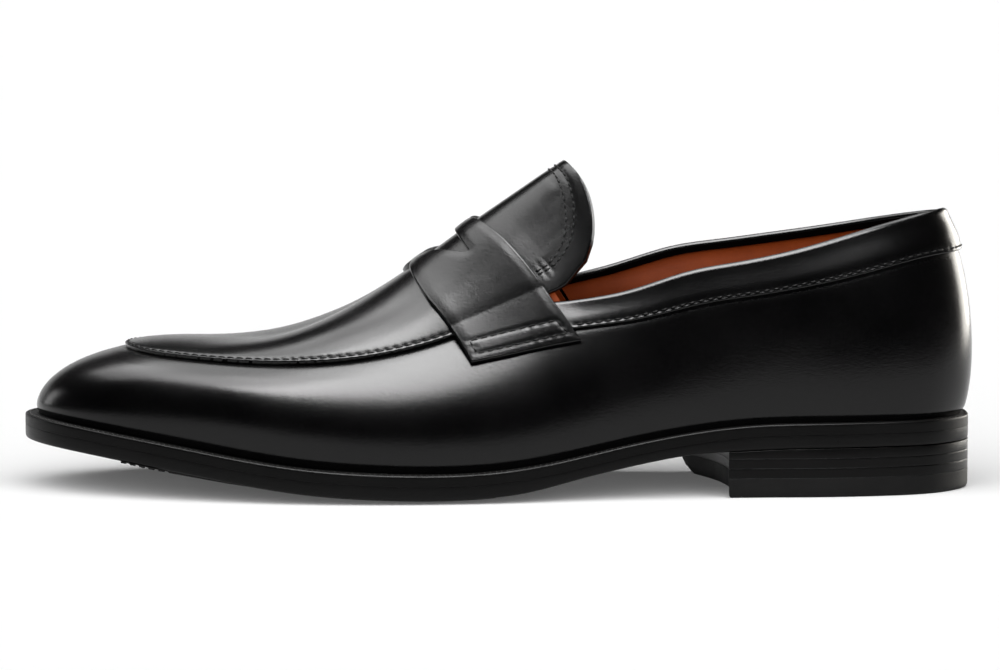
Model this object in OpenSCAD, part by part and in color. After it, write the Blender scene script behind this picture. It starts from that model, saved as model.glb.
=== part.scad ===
// Penny loafer, left shoe, built piece by piece round a shoe last.
// X runs from toe (-) to heel (+), Y from lateral (-) to medial (+), Z is up.
//
// Every upper piece is a patch of one surface, the last. A place on it is given by
//   q  position along the feather line: 0 toe, 16 heel, 32 toe again, lateral side first
//   t  position up the last: 0 at the feather line, 1 on the ridge line
//   h  height over the outer face of the side wall, so linings have a negative h

/* [Upper] */
// Thickness of the side wall leather
wall_thick = 1.4; // [1:0.1:1.8]
// Thickness of the apron and tongue leather
plug_thick = 1.4; // [1:0.1:1.8]
// Thickness of the saddle strap
strap_thick = 1.5; // [1:0.1:2]
// Thickness of the collar binding
collar_thick = 1.2; // [0.8:0.1:1.5]
// Thickness of the lining leather
lining_thick = 1.1; // [0.8:0.1:1.3]
// Thickness of the heel counter and the toe puff
stiffener_thick = 1; // [0.6:0.1:1.2]
// How far the binding turns down inside the opening, as a share of the last's height
collar_turn = 0.015; // [0.012:0.001:0.03]

/* [Sole] */
// Thickness of the welt
welt_thick = 3.6; // [3:0.1:4]
// Thickness of the outsole
outsole_thick = 4.4; // [3.5:0.1:4.6]
// How much thinner the outsole is at the waist
waist_thin = 1.1; // [0:0.1:1.4]
// Thickness of the forepart grip pad, ribs included
pad_thick = 1.2; // [0.8:0.1:1.2]
// Depth of the grooves between the pad's ribs
rib_depth = 0.7; // [0.3:0.1:0.7]
// Number of ribs on the pad
rib_count = 40; // [20:1:44]
// Thickness of the insole board
insole_thick = 2; // [1.5:0.1:2.5]
// Thickness of the sock lining
sock_thick = 0.9; // [0.6:0.1:1.2]
// Thickness of the foam heel pad
heel_pad_thick = 1.6; // [1:0.1:2.5]
// Thickness of the steel shank
shank_thick = 1.2; // [0.8:0.1:1.4]
// Width of the steel shank
shank_width = 14; // [8:1:18]

/* [Heel] */
// Thickness of one stacked lift
lift_thick = 3.1; // [2.8:0.1:3.1]
// X of the breast corner on the lateral side
breast_lateral = 72.6; // [70:0.2:76]
// X of the breast corner on the medial side
breast_medial = 60; // [58:0.5:64]
// How deep the breast is hollowed
breast_hollow = 6; // [3:0.5:9]
// Height of the bevel on the medial breast corner
corner_bevel = 4; // [2:0.5:5]
// Diameter of the heel nails
nail_d = 1.8; // [1.2:0.1:2.5]

/* [Stitching] */
// Diameter of the upper thread
thread_d = 0.5; // [0.4:0.05:0.7]
// Length of one stitch on the upper
stitch_pitch = 3; // [2.5:0.1:4]
// Length of one stitch on the welt
welt_pitch = 2.6; // [2:0.1:4]

/* [Hidden] */
$fn = 32;

heel_q = 16;
round_q = 2 * heel_q;
gap = 0.05;

// Shape of the last, one row for each whole q from toe to heel:
// feather x, lateral y, medial y, ridge x, side bulge, bulge height, shoulder reach
last_rows = [
    [-148.5, 3, 3, -113, 1, 12, 19],
    [-144.5, -9.5, 15.5, -112, 1.5, 12.5, 20],
    [-134, -21, 25.5, -108, 2.5, 14.5, 22],
    [-116, -31, 34, -100, 3.5, 19, 25],
    [-94, -38.5, 40.5, -87, 5, 24, 29],
    [-70, -44.5, 45.5, -72, 6, 28, 31],
    [-45, -46.9, 46.5, -57, 6, 31, 27],
    [-20, -46.2, 42.2, -44, 6, 34, 21],
    [5, -43, 34.5, -29, 6, 37, 17],
    [30, -37.5, 28, -8, 6, 38, 15],
    [55, -33.5, 26, 12, 6, 36, 16],
    [80, -31, 27, 38, 6, 33, 18],
    [104, -30, 28.5, 70, 6, 30, 19],
    [127, -26, 25.5, 98, 6.5, 29, 19],
    [140, -19.5, 19, 112, 8, 28, 19],
    [147.5, -9.5, 9, 119, 9.5, 28, 21],
    [149, 0, 0, 121, 9.5, 28, 22],
];

// Ridge line of the last, one [y, z] every ridge_step from ridge_start
ridge_start = -130;
ridge_step = 20;
ridge_rows = [[3, 42.2], [3, 45.7], [3, 45.7], [3.5, 46.7], [4, 54.2], [4, 66.4], [3.5, 81.1],
    [3, 95], [2, 106.9], [1, 109.5], [0, 110], [0, 110], [0, 110], [0, 110]];

// Height of the welt's top face, one value every seat_step from seat_start
seat_start = -160;
seat_step = 20;
seat_rows = [23.6, 22.3, 19.9, 16.9, 13.7, 11.1, 9.7, 9.2, 10, 12.8, 17, 20.6, 22.8, 23.4,
    23.5, 23.5, 23.5];

// How far the welt stands out from the feather line, one value for each whole q
welt_rows = [3.5, 3.7, 4, 4.3, 4.5, 4.5, 4.5, 4.3, 4, 3.6, 3.2, 3, 2.8, 2.4, 2, 1.8, 1.7];

// Lower edge of the apron, t for each whole q from the toe to the strap
apron_rows = [0.885, 0.86, 0.775, 0.664, 0.612, 0.583, 0.516, 0.485, 0.478, 0.482, 0.487];
// Topline, t for each whole q from 8 to 24
topline_first = 8;
topline_rows = [0.495, 0.448, 0.41, 0.43, 0.476, 0.54, 0.584, 0.604, 0.604, 0.592, 0.574, 0.542,
    0.501, 0.465, 0.455, 0.475, 0.49];
// Height of the collar binding below the topline, t for each whole q from 8 to 24
collar_rows = [0.088, 0.085, 0.076, 0.082, 0.09, 0.105, 0.112, 0.12, 0.119, 0.12, 0.112, 0.105,
    0.09, 0.082, 0.076, 0.085, 0.088];

// ---- Smooth curves through evenly spaced values ----

spline_reach = 8;
spline_span = [-spline_reach:spline_reach];
spline_weights = [for (k = spline_span) sqrt(3) * pow(sqrt(3) - 2, abs(k))];

function wrap(i, n) = (i % n + n) % n;
function loop_controls(rows) =
    let (n = len(rows))
    [for (i = [0:n - 1]) spline_weights * [for (k = spline_span) rows[wrap(i + k, n)]]];

// Row i of an open list, mirrored through its end rows when i lies outside
function beyond(rows, i) =
    let (last = len(rows) - 1)
    i < 0 ? 2 * rows[0] - rows[min(-i, last)]
    : i > last ? 2 * rows[last] - rows[max(2 * last - i, 0)]
    : rows[i];
function line_controls(rows) =
    [for (i = [-1:len(rows)]) spline_weights * [for (k = spline_span) beyond(rows, i + k)]];

function cubic_blend(f) =
    [pow(1 - f, 3), 3 * f * f * f - 6 * f * f + 4, -3 * f * f * f + 3 * f * f + 3 * f + 1, f * f * f] / 6;
function loop_at(controls, u) =
    let (i = floor(u))
    cubic_blend(u - i) * [for (k = [-1:2]) controls[wrap(i + k, len(controls))]];
function line_at(controls, u) =
    let (i = max(0, min(len(controls) - 4, floor(u))))
    cubic_blend(u - i) * [for (k = [0:3]) controls[i + k]];

last_controls = loop_controls([
    for (i = [0:round_q - 1])
        let (lateral = i <= heel_q, r = last_rows[lateral ? i : round_q - i])
        [r[0], lateral ? r[1] : r[2], r[3], r[4], r[5], r[6]]
]);
welt_controls = loop_controls([for (i = [0:round_q - 1]) welt_rows[i <= heel_q ? i : round_q - i]]);
ridge_controls = line_controls(ridge_rows);
seat_controls = line_controls(seat_rows);
apron_controls = line_controls(apron_rows);
topline_controls = line_controls(topline_rows);
collar_controls = line_controls(collar_rows);

function ridge_at(x) = line_at(ridge_controls, (x - ridge_start) / ridge_step);
function seat_z(x) = line_at(seat_controls, (x - seat_start) / seat_step);
function welt_reach(q) = loop_at(welt_controls, wrap(q, round_q));
function topline(q) = line_at(topline_controls, q - topline_first);
function collar_low(q) = topline(q) - line_at(collar_controls, q - topline_first);

// ---- The last ----

function mix(a, b, f) = a + (b - a) * f;
function ramp(a, b, v) = max(0, min(1, (v - a) / (b - a)));
function smooth(a, b, v) = let (f = ramp(a, b, v)) f * f * (3 - 2 * f);
function mirror_q(q) = round_q - q;
function toe_distance(q) = min(wrap(q, round_q), round_q - wrap(q, round_q));

// Point of the feather line moved outwards by reach, in plan
function plan_at(q, reach = 0) =
    let (
        p = loop_at(last_controls, q),
        d = loop_at(last_controls, q + 0.02) - loop_at(last_controls, q - 0.02),
        way = [d[1], -d[0]] / norm([d[0], d[1]])
    )
    [p[0], p[1]] + reach * way;

// The four control points of the curve that climbs from the feather line to the ridge
function meridian(q) =
    let (
        r = loop_at(last_controls, q),
        way = plan_at(q, 1) - [r[0], r[1]],
        z = seat_z(r[0]),
        top = ridge_at(r[2]),
        slope = (ridge_at(r[2] + 0.1)[1] - ridge_at(r[2] - 0.1)[1]) / 0.2
    )
    [
        [r[0], r[1], z],
        [r[0] + way[0] * r[3], r[1] + way[1] * r[3], z + r[4]],
        [r[2] + way[0] * r[5], top[0] + way[1] * r[5], top[1] + slope * way[0] * r[5]],
        [r[2], top[0], top[1]],
    ];
function curve_at(m, t) = pow(1 - t, 3) * m[0] + 3 * pow(1 - t, 2) * t * m[1] + 3 * (1 - t) * t * t * m[2]
    + pow(t, 3) * m[3];
function curve_slope(m, t) = pow(1 - t, 2) * (m[1] - m[0]) + 2 * (1 - t) * t * (m[2] - m[1])
    + t * t * (m[3] - m[2]);

// Point on the last, raised by h along the surface normal
function last_point(q, t, h) =
    let (
        m = meridian(q),
        s = min(t, 0.998),
        up = cross(curve_at(meridian(q + 0.02), s) - curve_at(meridian(q - 0.02), s), curve_slope(m, s))
    )
    curve_at(m, t) + h * up / norm(up);

// ---- Solids from grids of points ----

// Closed sheet between two grids of the same size. keep(i, j) says which cells exist,
// ring joins the last row to the first, and fold says that row 0 is folded on itself.
module sheet(outer, inner, keep = function(i, j) true, ring = false, fold = false) {
    rows = len(outer);
    cols = len(outer[0]);
    size = rows * cols;
    cells_i = ring ? rows : rows - 1;
    at = function(i, j) (i % rows) * cols + (fold && i == 0 ? min(j, cols - 1 - j) : j);
    there = function(i, j)
        j >= 0 && j < cols - 1 && (ring || (i >= 0 && i < cells_i)) && keep(wrap(i, cells_i), j);
    wall = function(a, b) [[a, b, b + size], [a, b + size, a + size]];
    kept = [for (i = [0:cells_i - 1], j = [0:cols - 2]) if (keep(i, j)) [i, j]];
    faces = [
        for (c = kept)
            let (
                i = c[0],
                j = c[1],
                a = at(i, j),
                b = at(i + 1, j),
                d = at(i, j + 1),
                e = at(i + 1, j + 1)
            )
            each concat(
                [[a, b, e], [a, e, d], [a + size, e + size, b + size], [a + size, d + size, e + size]],
                there(i, j - 1) ? [] : wall(b, a),
                there(i, j + 1) ? [] : wall(d, e),
                there(i - 1, j) || (fold && i == 0) ? [] : wall(a, d),
                there(i + 1, j) ? [] : wall(e, b)
            )
    ];
    points = concat([for (r = outer) each r], [for (r = inner) each r]);
    whole = [for (f = faces) if (f[0] != f[1] && f[1] != f[2] && f[2] != f[0]) [f[2], f[1], f[0]]];
    polyhedron(points = points, faces = whole);
}

// Row of points that climbs one side, crosses the ridge and comes down the other
function across(q, low, steps, h) = concat(
    [for (j = [0:steps]) let (t = mix(low, 1, j / steps)) last_point(q, t, h(q, t))],
    [for (j = [1:steps]) let (t = mix(1, low, j / steps)) last_point(mirror_q(q), t, h(q, t))]
);

// Flat sole layer: reach and heights are functions, and the ends close to a point
module layer(reach, top, bottom, from = 0, to = heel_q, steps = 40) {
    rows = [for (i = [0:steps]) mix(from, to, i / steps)];
    flat = function(q, z)
        let (p = plan_at(q, reach(q)))
        [p[0], p[1], z(p[0])];
    grid = function(z) [for (q = rows) [flat(q, z), flat(mirror_q(q), z)]];
    sole_plate(grid(top), grid(bottom), from == 0, to == heel_q);
}

// Plate of two-point rows whose first and last rows may shrink to one point
module sole_plate(upper, lower, toe_closed, heel_closed) {
    rows = len(upper);
    size = 2 * rows;
    at = function(i, j) 2 * i + ((i == 0 && toe_closed) || (i == rows - 1 && heel_closed) ? 0 : j);
    faces = concat(
        [
            for (i = [0:rows - 2])
                let (a = at(i, 0), b = at(i + 1, 0), d = at(i, 1), e = at(i + 1, 1))
                each [
                    [a, e, b], [a, d, e], [a + size, b + size, e + size], [a + size, e + size, d + size],
                    [a, b, b + size], [a, b + size, a + size], [d, e + size, e], [d, d + size, e + size]
                ]
        ],
        toe_closed ? [] : [[0, size, 1], [1, size, 1 + size]],
        heel_closed ? [] : [[size - 2, size - 1, 2 * size - 1], [size - 2, 2 * size - 1, 2 * size - 2]]
    );
    whole = [for (f = faces) if (f[0] != f[1] && f[1] != f[2] && f[2] != f[0]) f];
    polyhedron(points = concat([for (r = upper) each r], [for (r = lower) each r]), faces = whole);
}

// ---- Heights and edges shared by several pieces ----

function station(q) = toe_distance(q);
function apron_edge(q) = line_at(apron_controls, station(q));

lap = 0.07;
strap_q = 9.1;
tongue_length = 1.32;
// Edge of the wall: tucked under the apron in front, the topline behind the strap
function wall_edge(q) = mix(
    line_at(apron_controls, min(station(q), strap_q)) + lap,
    topline(max(topline_first, min(mirror_q(topline_first), q))) - 0.004,
    ramp(8.2, strap_q, station(q))
);
// Edge of the apron, which runs on behind the strap as the tongue
function tongue_edge(q) =
    q <= strap_q ? apron_edge(q)
    : apron_edge(strap_q) + 0.36 * (1 - sqrt(max(0, 1 - pow((q - strap_q) / tongue_length, 2))));

apron_h = plug_thick + gap;
under_wall = -wall_thick - gap;
// Top edge of the heel counter, well under the collar binding's turned-in edge
function counter_top(q) =
    min(0.44, topline(max(topline_first, min(mirror_q(topline_first), q))) - 0.09);
// 1 where the counter or the puff lies between the wall and the lining
function stiff(q, t) = max(
    ramp(9.7, 10.3, station(q)) * ramp(0.06, 0.01, t - counter_top(q)),
    ramp(2.9, 2.4, station(q)) * ramp(0.68, 0.62, t)
);
function lining_face(q, t) =
    mix(under_wall, -gap, ramp(0, 0.05, t - wall_edge(q))) - stiff(q, t) * (stiffener_thick + gap);
// Lowest layer of the lining: nothing of the quarter rises over the wall's edge
function quarter_face(q, t) = under_wall - stiff(q, t) * (stiffener_thick + gap);

function outsole_top(x) = seat_z(x) - welt_thick;
function waist(x) = smooth(4, 30, x) * smooth(82, 56, x);
function outsole_bottom(x) = seat_z(x) - welt_thick - outsole_thick + waist_thin * waist(x);
heel_x = 140;
heel_height = outsole_bottom(heel_x);
top_piece_thick = heel_height - 3 * lift_thick;
function pad_rise(x) = heel_pad_thick * ramp(58, 76, x);
function insole_top(x) = seat_z(x) + gap + insole_thick;

// Feather line station where the sole's edge, on the given side, has this x
function station_at(x, medial, low = 0, high = 16, n = 18) =
    let (m = (low + high) / 2, q = medial ? mirror_q(m) : m)
    n == 0 ? m
    : plan_at(q, welt_reach(q))[0] < x ? station_at(x, medial, m, high, n - 1)
    : station_at(x, medial, low, m, n - 1);

nail_spots = [[92, -15], [92, 15], [117, -15], [117, 15], [133, 0]];

// ---- Sole ----

module outsole() {
    color("#1b1a19")
        difference() {
            layer(
                function(q) welt_reach(q),
                function(x) outsole_top(x) - gap,
                function(x) outsole_bottom(x)
            );
            heel_nail_bores();
        }
}

pad_start = -118.6;
pad_end = 2;
rib_pitch = (pad_end - pad_start) / rib_count;
module tread_pad() {
    pad_inset = function(x) mix(0.2, 8, ramp(-108, -80, x));
    fullness = function(x) mix(0.5, 1, ramp(-118, -86, x));
    profile = [
        for (k = [0:rib_count - 1], c = [[0.02, 0], [0.55, 0], [0.65, 1], [0.92, 1]])
            [pad_start + (k + c[0]) * rib_pitch, c[1] * rib_depth]
    ];
    side = function(x, medial)
        let (s = station_at(x, medial), q = medial ? mirror_q(s) : s)
        plan_at(q, welt_reach(q) - pad_inset(x));
    rows = [for (p = profile) [side(p[0], false), side(p[0], true), p]];
    place = function(v, z) [v[0], v[1], z];
    upper = [for (r = rows) [for (j = [0, 1]) place(r[j], outsole_bottom(r[2][0]) - gap)]];
    lower = [
        for (r = rows)
            let (x = r[2][0], full = fullness(x))
                [for (j = [0, 1]) place(r[j], max(0, outsole_bottom(x) - pad_thick * full) + r[2][1] * full)]
    ];
    color("#232220") sole_plate(upper, lower, false, false);
}

welt_width = 6;
module welt() {
    rows = [for (i = [0:4 * heel_q - 1]) i / 2];
    point = function(q, reach, drop)
        let (p = plan_at(q, reach))
        [p[0], p[1], seat_z(p[0]) - drop];
    face = function(drop) [for (q = rows) [point(q, welt_reach(q), drop), point(q, -welt_width, drop)]];
    color("#181716") sheet(face(gap), face(welt_thick), ring = true);
}

module bottom_filler() {
    room = shank_thick + 3 * gap;
    color("#8a6a45")
        difference() {
            layer(
                function(q) -welt_width - 0.2,
                function(x) seat_z(x) - gap - room * ramp(6, 12, x),
                function(x) seat_z(x) - welt_thick
            );
            heel_nail_bores();
        }
}

module shank() {
    rows = [for (i = [0:14]) mix(14, 112, i / 14)];
    middle = function(x) mix(-5, 0, ramp(20, 95, x));
    face = function(z)
        [for (x = rows) [for (s = [-1, 1]) [x, middle(x) + s * shank_width / 2, seat_z(x) - z]]];
    color("#9a9da0") sole_plate(face(gap), face(gap + shank_thick), false, false);
}

module insole_board() {
    color("#a98a63")
        difference() {
            layer(
                function(q) -4,
                function(x) insole_top(x),
                function(x) seat_z(x) + gap
            );
            heel_nail_bores();
        }
}

module heel_pad() {
    color("#d8c9a8")
        layer(
            function(q) -6.5,
            function(x) insole_top(x) + gap + max(0.3, pad_rise(x)),
            function(x) insole_top(x) + gap,
            from = 10.4,
            steps = 14
        );
}

module sock_lining() {
    color("#6d3a22")
        layer(
            function(q) -4.3,
            function(x) insole_top(x) + max(0.45, pad_rise(x)) + 2 * gap + sock_thick,
            function(x) insole_top(x) + max(0.45, pad_rise(x)) + 2 * gap
        );
}

// ---- Heel ----

heel_outline = let (
    s_lateral = station_at(breast_lateral, false),
    s_medial = station_at(breast_medial, true),
    edge = function(q) plan_at(q, welt_reach(q)),
    corner_l = edge(s_lateral),
    corner_m = edge(mirror_q(s_medial))
) concat(
    [for (i = [0:20]) edge(mix(s_lateral, heel_q, i / 20))],
    [for (i = [19:-1:0]) edge(mirror_q(mix(s_medial, heel_q, i / 20)))],
    [for (i = [1:11]) let (f = i / 12) mix(corner_m, corner_l, f) + [4 * breast_hollow * f * (1 - f), 0]]
);

module heel_slab(low, high) {
    translate([0, 0, low]) linear_extrude(high - low) polygon(heel_outline);
}
module heel_nail_bores() {
    for (p = nail_spots) translate([p[0], p[1], lift_thick]) cylinder(d = nail_d, h = 30);
}
// Level of the underside of lift n, counted down from the outsole
function lift_low(n) = top_piece_thick + (3 - n) * lift_thick;

module heel_lift_1() {
    reach = 60;
    arch = [for (i = [0:16]) let (x = mix(50, 160, i / 16)) [x, outsole_bottom(x) - gap]];
    color("#1a1918")
        difference() {
            heel_slab(lift_low(1), heel_height + 1);
            translate([0, reach, 0])
                rotate([90, 0, 0])
                    linear_extrude(2 * reach) polygon(concat(arch, [[160, 30], [50, 30]]));
            heel_nail_bores();
        }
}
module heel_lift(n) {
    color("#1a1918")
        difference() {
            heel_slab(lift_low(n), lift_low(n - 1) - gap);
            heel_nail_bores();
        }
}
module heel_lift_2() {
    heel_lift(2);
}
module heel_lift_3() {
    heel_lift(3);
}
// Slope cut off the lower medial corner of the breast
module corner_wedge() {
    front = breast_medial - 5;
    translate([0, 60, 0])
        rotate([90, 0, 0])
            linear_extrude(60)
                polygon([
                    [front, -1],
                    [breast_medial + corner_bevel + 1, -1],
                    [breast_medial - 1, corner_bevel + 1],
                    [front, corner_bevel + 1],
                ]);
}
module top_piece() {
    color("#141413")
        difference() {
            heel_slab(0, top_piece_thick - gap);
            corner_wedge();
        }
}
module heel_nails() {
    low = lift_low(3);
    color("#b0a27c")
        for (p = nail_spots)
            translate([p[0], p[1], low])
                cylinder(d = nail_d, h = insole_top(p[0]) - low);
}

// ---- Upper ----

module side_wall() {
    steps = 10;
    rows = [for (i = [0:4 * heel_q - 1]) i / 2];
    face = function(h) [
        for (q = rows)
            [for (j = [0:steps]) last_point(q, wall_edge(q) * j / steps, h)]
    ];
    color("#1d1c1c") sheet(face(0), face(-wall_thick), ring = true);
}

module vamp_plug() {
    rows = concat([for (i = [0:18]) i / 2], [9.3, 9.6, 9.85, 10.05, 10.2, 10.32, 10.42]);
    face = function(h) [for (q = rows) across(q, tongue_edge(q), 6, function(q, t) h)];
    color("#1d1c1c") sheet(face(apron_h), face(gap), fold = true);
}

strap_low = 0.338;
slot_end = 0.74;
strap_cols = [strap_low, 0.4, 0.46, 0.5, 0.56, 0.62, 0.68, slot_end, 0.8, 0.87, 0.94, 1];
function strap_front(t) = 7.8 + 0.35 * pow(ramp(0.62, 1, t), 1.2);
function slot_rear(t) = 8.62 + 0.06 * ramp(1, slot_end, t);
function slot_front(t) = slot_rear(t) - 0.05 - 0.27 * pow(ramp(slot_end, 1, t), 0.8);
// Height of the strap's underside, which steps up over the apron's edge
function strap_seat(t) = mix(gap, apron_h + gap, ramp(0.46, 0.5, t));

module saddle_strap() {
    last_col = len(strap_cols) - 1;
    edges = function(t)
        let (a = strap_front(t), b = slot_front(t), c = slot_rear(t))
        [a, (a + b) / 2, b, c, (c + strap_q) / 2, strap_q];
    point = function(i, j, h)
        let (far = j > last_col, t = strap_cols[far ? 2 * last_col - j : j], q = edges(t)[i])
        last_point(far ? mirror_q(q) : q, t, strap_seat(t) + h);
    face = function(h) [for (i = [0:5]) [for (j = [0:2 * last_col]) point(i, j, h)]];
    slot_col = search(slot_end, strap_cols)[0];
    color("#1f1e1e")
        sheet(
            face(strap_thick),
            face(0),
            keep = function(i, j) !(i == 2 && j >= slot_col && j < 2 * last_col - slot_col)
        );
}

module collar_band() {
    first = 8.95;
    rows = [for (i = [0:50]) mix(first, mirror_q(first), i / 50)];
    inside = under_wall - gap - lining_thick - gap;
    over = function(q, c)
        let (low = collar_low(q), top = topline(q), e = c > 0.1 ? 0.012 : 0.001)
        [
            last_point(q, low, gap + c),
            last_point(q, mix(low, top, 0.5), gap + c),
            last_point(q, top, gap + c),
            last_point(q, top + e, inside / 2),
            last_point(q, top, inside - c),
            last_point(q, top - collar_turn, inside - c),
        ];
    color("#1d1c1c")
        sheet([for (q = rows) over(q, collar_thick)], [for (q = rows) over(q, 0)]);
}

module vamp_lining() {
    rows = concat([for (i = [0:17]) i / 2], [8.8, 9.2]);
    face = function(drop) [for (q = rows) across(q, 0, 10, function(q, t) lining_face(q, t) - drop)];
    color("#7a4427") sheet(face(0), face(lining_thick), fold = true);
}

module quarter_lining() {
    first = 9.25;
    steps = 8;
    rows = [for (i = [0:36]) mix(first, mirror_q(first), i / 36)];
    face = function(drop) [
        for (q = rows)
            let (top = topline(q) - 0.004)
            [for (j = [0:steps]) let (t = top * j / steps) last_point(q, t, quarter_face(q, t) - drop)]
    ];
    color("#7a4427") sheet(face(0), face(lining_thick));
}

module tongue_lining() {
    rows = [9.25, 9.5, 9.75, 9.95, 10.1, 10.22, 10.3];
    face = function(h) [for (q = rows) across(q, tongue_edge(q) + 0.03, 5, function(q, t) h)];
    color("#7a4427") sheet(face(-gap), face(-gap - lining_thick));
}

module heel_counter() {
    first = 10.4;
    rows = [for (i = [0:26]) mix(first, mirror_q(first), i / 26)];
    face = function(drop) [
        for (q = rows)
            [for (i = [0:4]) last_point(q, counter_top(q) * i / 4, under_wall - drop)]
    ];
    color("#c9b48c") sheet(face(0), face(stiffener_thick));
}

module toe_puff() {
    reach = 2.3;
    rows = [for (i = [0:12]) round_q + mix(-reach, reach, i / 12)];
    face = function(drop) [
        for (q = rows)
            [for (t = [0, 0.15, 0.3, 0.45, 0.6]) last_point(q, t, under_wall - drop)]
    ];
    color("#c9b48c") sheet(face(0), face(stiffener_thick));
}

// ---- Stitching ----

// Points at equal steps along a path
function evenly(path, pitch) =
    let (
        parts = [for (i = [1:len(path) - 1]) norm(path[i] - path[i - 1])],
        sums = [for (i = 0, s = 0; i <= len(parts); s = s + (i < len(parts) ? parts[i] : 0), i = i + 1) s],
        n = max(1, round(sums[len(parts)] / pitch))
    )
    [
        for (k = [0:n])
            let (
                goal = sums[len(parts)] * k / n,
                i = min(len(parts) - 1, len([for (s = sums) if (s < goal) 1]) - 1),
                j = max(0, i)
            )
            mix(path[j], path[j + 1], (goal - sums[j]) / parts[j])
    ];

module stitches(path, pitch) {
    ends = evenly(path, pitch);
    for (i = [1:len(ends) - 1]) {
        way = ends[i] - ends[i - 1];
        translate((ends[i] + ends[i - 1]) / 2)
            rotate([0, acos(way[2] / norm(way)), atan2(way[1], way[0])])
                cylinder(d = thread_d, h = 0.78 * norm(way), center = true, $fn = 16);
    }
}

function trace(low, high, n, at) = [for (i = [0:n]) at(mix(low, high, i / n))];
seam_inset = 0.022;
lie = thread_d / 2 + 0.03;

module welt_thread() {
    path = trace(0, round_q, 160, function(q)
        let (p = plan_at(q, welt_reach(q) * 0.58)) [p[0], p[1], seat_z(p[0]) + lie]);
    color("#8b8a86") stitches(path, welt_pitch);
}
module apron_thread() {
    reach = 7.7;
    path = trace(-reach, reach, 120, function(q)
        last_point(wrap(q, round_q), apron_edge(wrap(q, round_q)) + seam_inset, apron_h + lie));
    color("#2a2928") stitches(path, stitch_pitch);
}
module collar_thread() {
    reach = 9.25;
    path = trace(reach, mirror_q(reach), 120, function(q)
        last_point(q, collar_low(q) + 0.014, gap + collar_thick + lie));
    color("#2a2928") stitches(path, stitch_pitch);
}
module strap_thread() {
    corners = [[7.95, 0.43], [7.93, 0.374], [9, 0.354], [8.96, 0.397], [7.95, 0.43]];
    color("#2a2928")
        for (far = [false, true], i = [0:3]) {
            path = trace(0, 1, 8, function(f)
                let (c = mix(corners[i], corners[i + 1], f), q = far ? mirror_q(c[0]) : c[0])
                last_point(q, c[1], strap_seat(c[1]) + strap_thick + lie));
            stitches(path, stitch_pitch);
        }
}
module tongue_thread() {
    color("#2a2928")
        for (row = [[0.16, 0.03], [0.3, 0.05]]) {
            point = function(v, far)
                let (
                    q = strap_q + 0.1 + (tongue_length - 0.1 - row[0]) * sin(90 * v),
                    t = mix(tongue_edge(min(10.4, q + row[0] * 0.6)) + row[1], 1, pow(v, 6))
                )
                last_point(far ? mirror_q(q) : q, t, apron_h + lie);
            stitches(trace(0, 1, 30, function(v) point(v, false)), stitch_pitch);
            stitches(trace(0, 1, 30, function(v) point(v, true)), stitch_pitch);
        }
}

outsole();
tread_pad();
welt();
bottom_filler();
shank();
insole_board();
heel_pad();
sock_lining();
heel_lift_1();
heel_lift_2();
heel_lift_3();
top_piece();
heel_nails();
side_wall();
vamp_plug();
saddle_strap();
collar_band();
vamp_lining();
quarter_lining();
tongue_lining();
heel_counter();
toe_puff();
welt_thread();
apron_thread();
strap_thread();
collar_thread();
tongue_thread();
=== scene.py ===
import logging
import math
from dataclasses import dataclass, field
from enum import Enum
from typing import Callable, Optional, Sequence, Union

import bpy
import numpy as np
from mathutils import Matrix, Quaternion, Vector


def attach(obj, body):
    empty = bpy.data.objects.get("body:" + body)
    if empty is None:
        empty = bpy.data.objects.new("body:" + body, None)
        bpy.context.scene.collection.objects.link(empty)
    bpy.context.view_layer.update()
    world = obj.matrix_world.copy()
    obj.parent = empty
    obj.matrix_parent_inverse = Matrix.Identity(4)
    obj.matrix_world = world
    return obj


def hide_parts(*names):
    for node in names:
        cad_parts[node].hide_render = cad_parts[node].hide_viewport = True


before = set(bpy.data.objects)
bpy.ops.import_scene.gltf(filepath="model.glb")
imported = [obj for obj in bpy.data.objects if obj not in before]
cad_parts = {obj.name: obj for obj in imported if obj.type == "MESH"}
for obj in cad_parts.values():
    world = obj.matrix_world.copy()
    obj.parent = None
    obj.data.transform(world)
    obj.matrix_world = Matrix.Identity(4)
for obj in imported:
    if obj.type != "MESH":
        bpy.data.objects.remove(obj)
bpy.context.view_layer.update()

# Metres in a millimetre; the shoe's classes work in millimetres
MM = 0.001
# Number of the heel's station, with the toe at 0, and that of the toe again after going round
HEEL_Q = 16
ROUND_Q = 2 * HEEL_Q
# Clearance between pieces that lie on each other, in millimetres
GAP = 0.05
# Distances in from a cut edge, in millimetres, of the columns that round it
EDGE_COLUMNS = (0, 0.03, 0.1, 0.2, 0.32, 0.46)
log = logging.getLogger("loafer")
Array = np.ndarray
Number = Union[float, Array]


# ---------------------------------------------------------------- smooth curves


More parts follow.
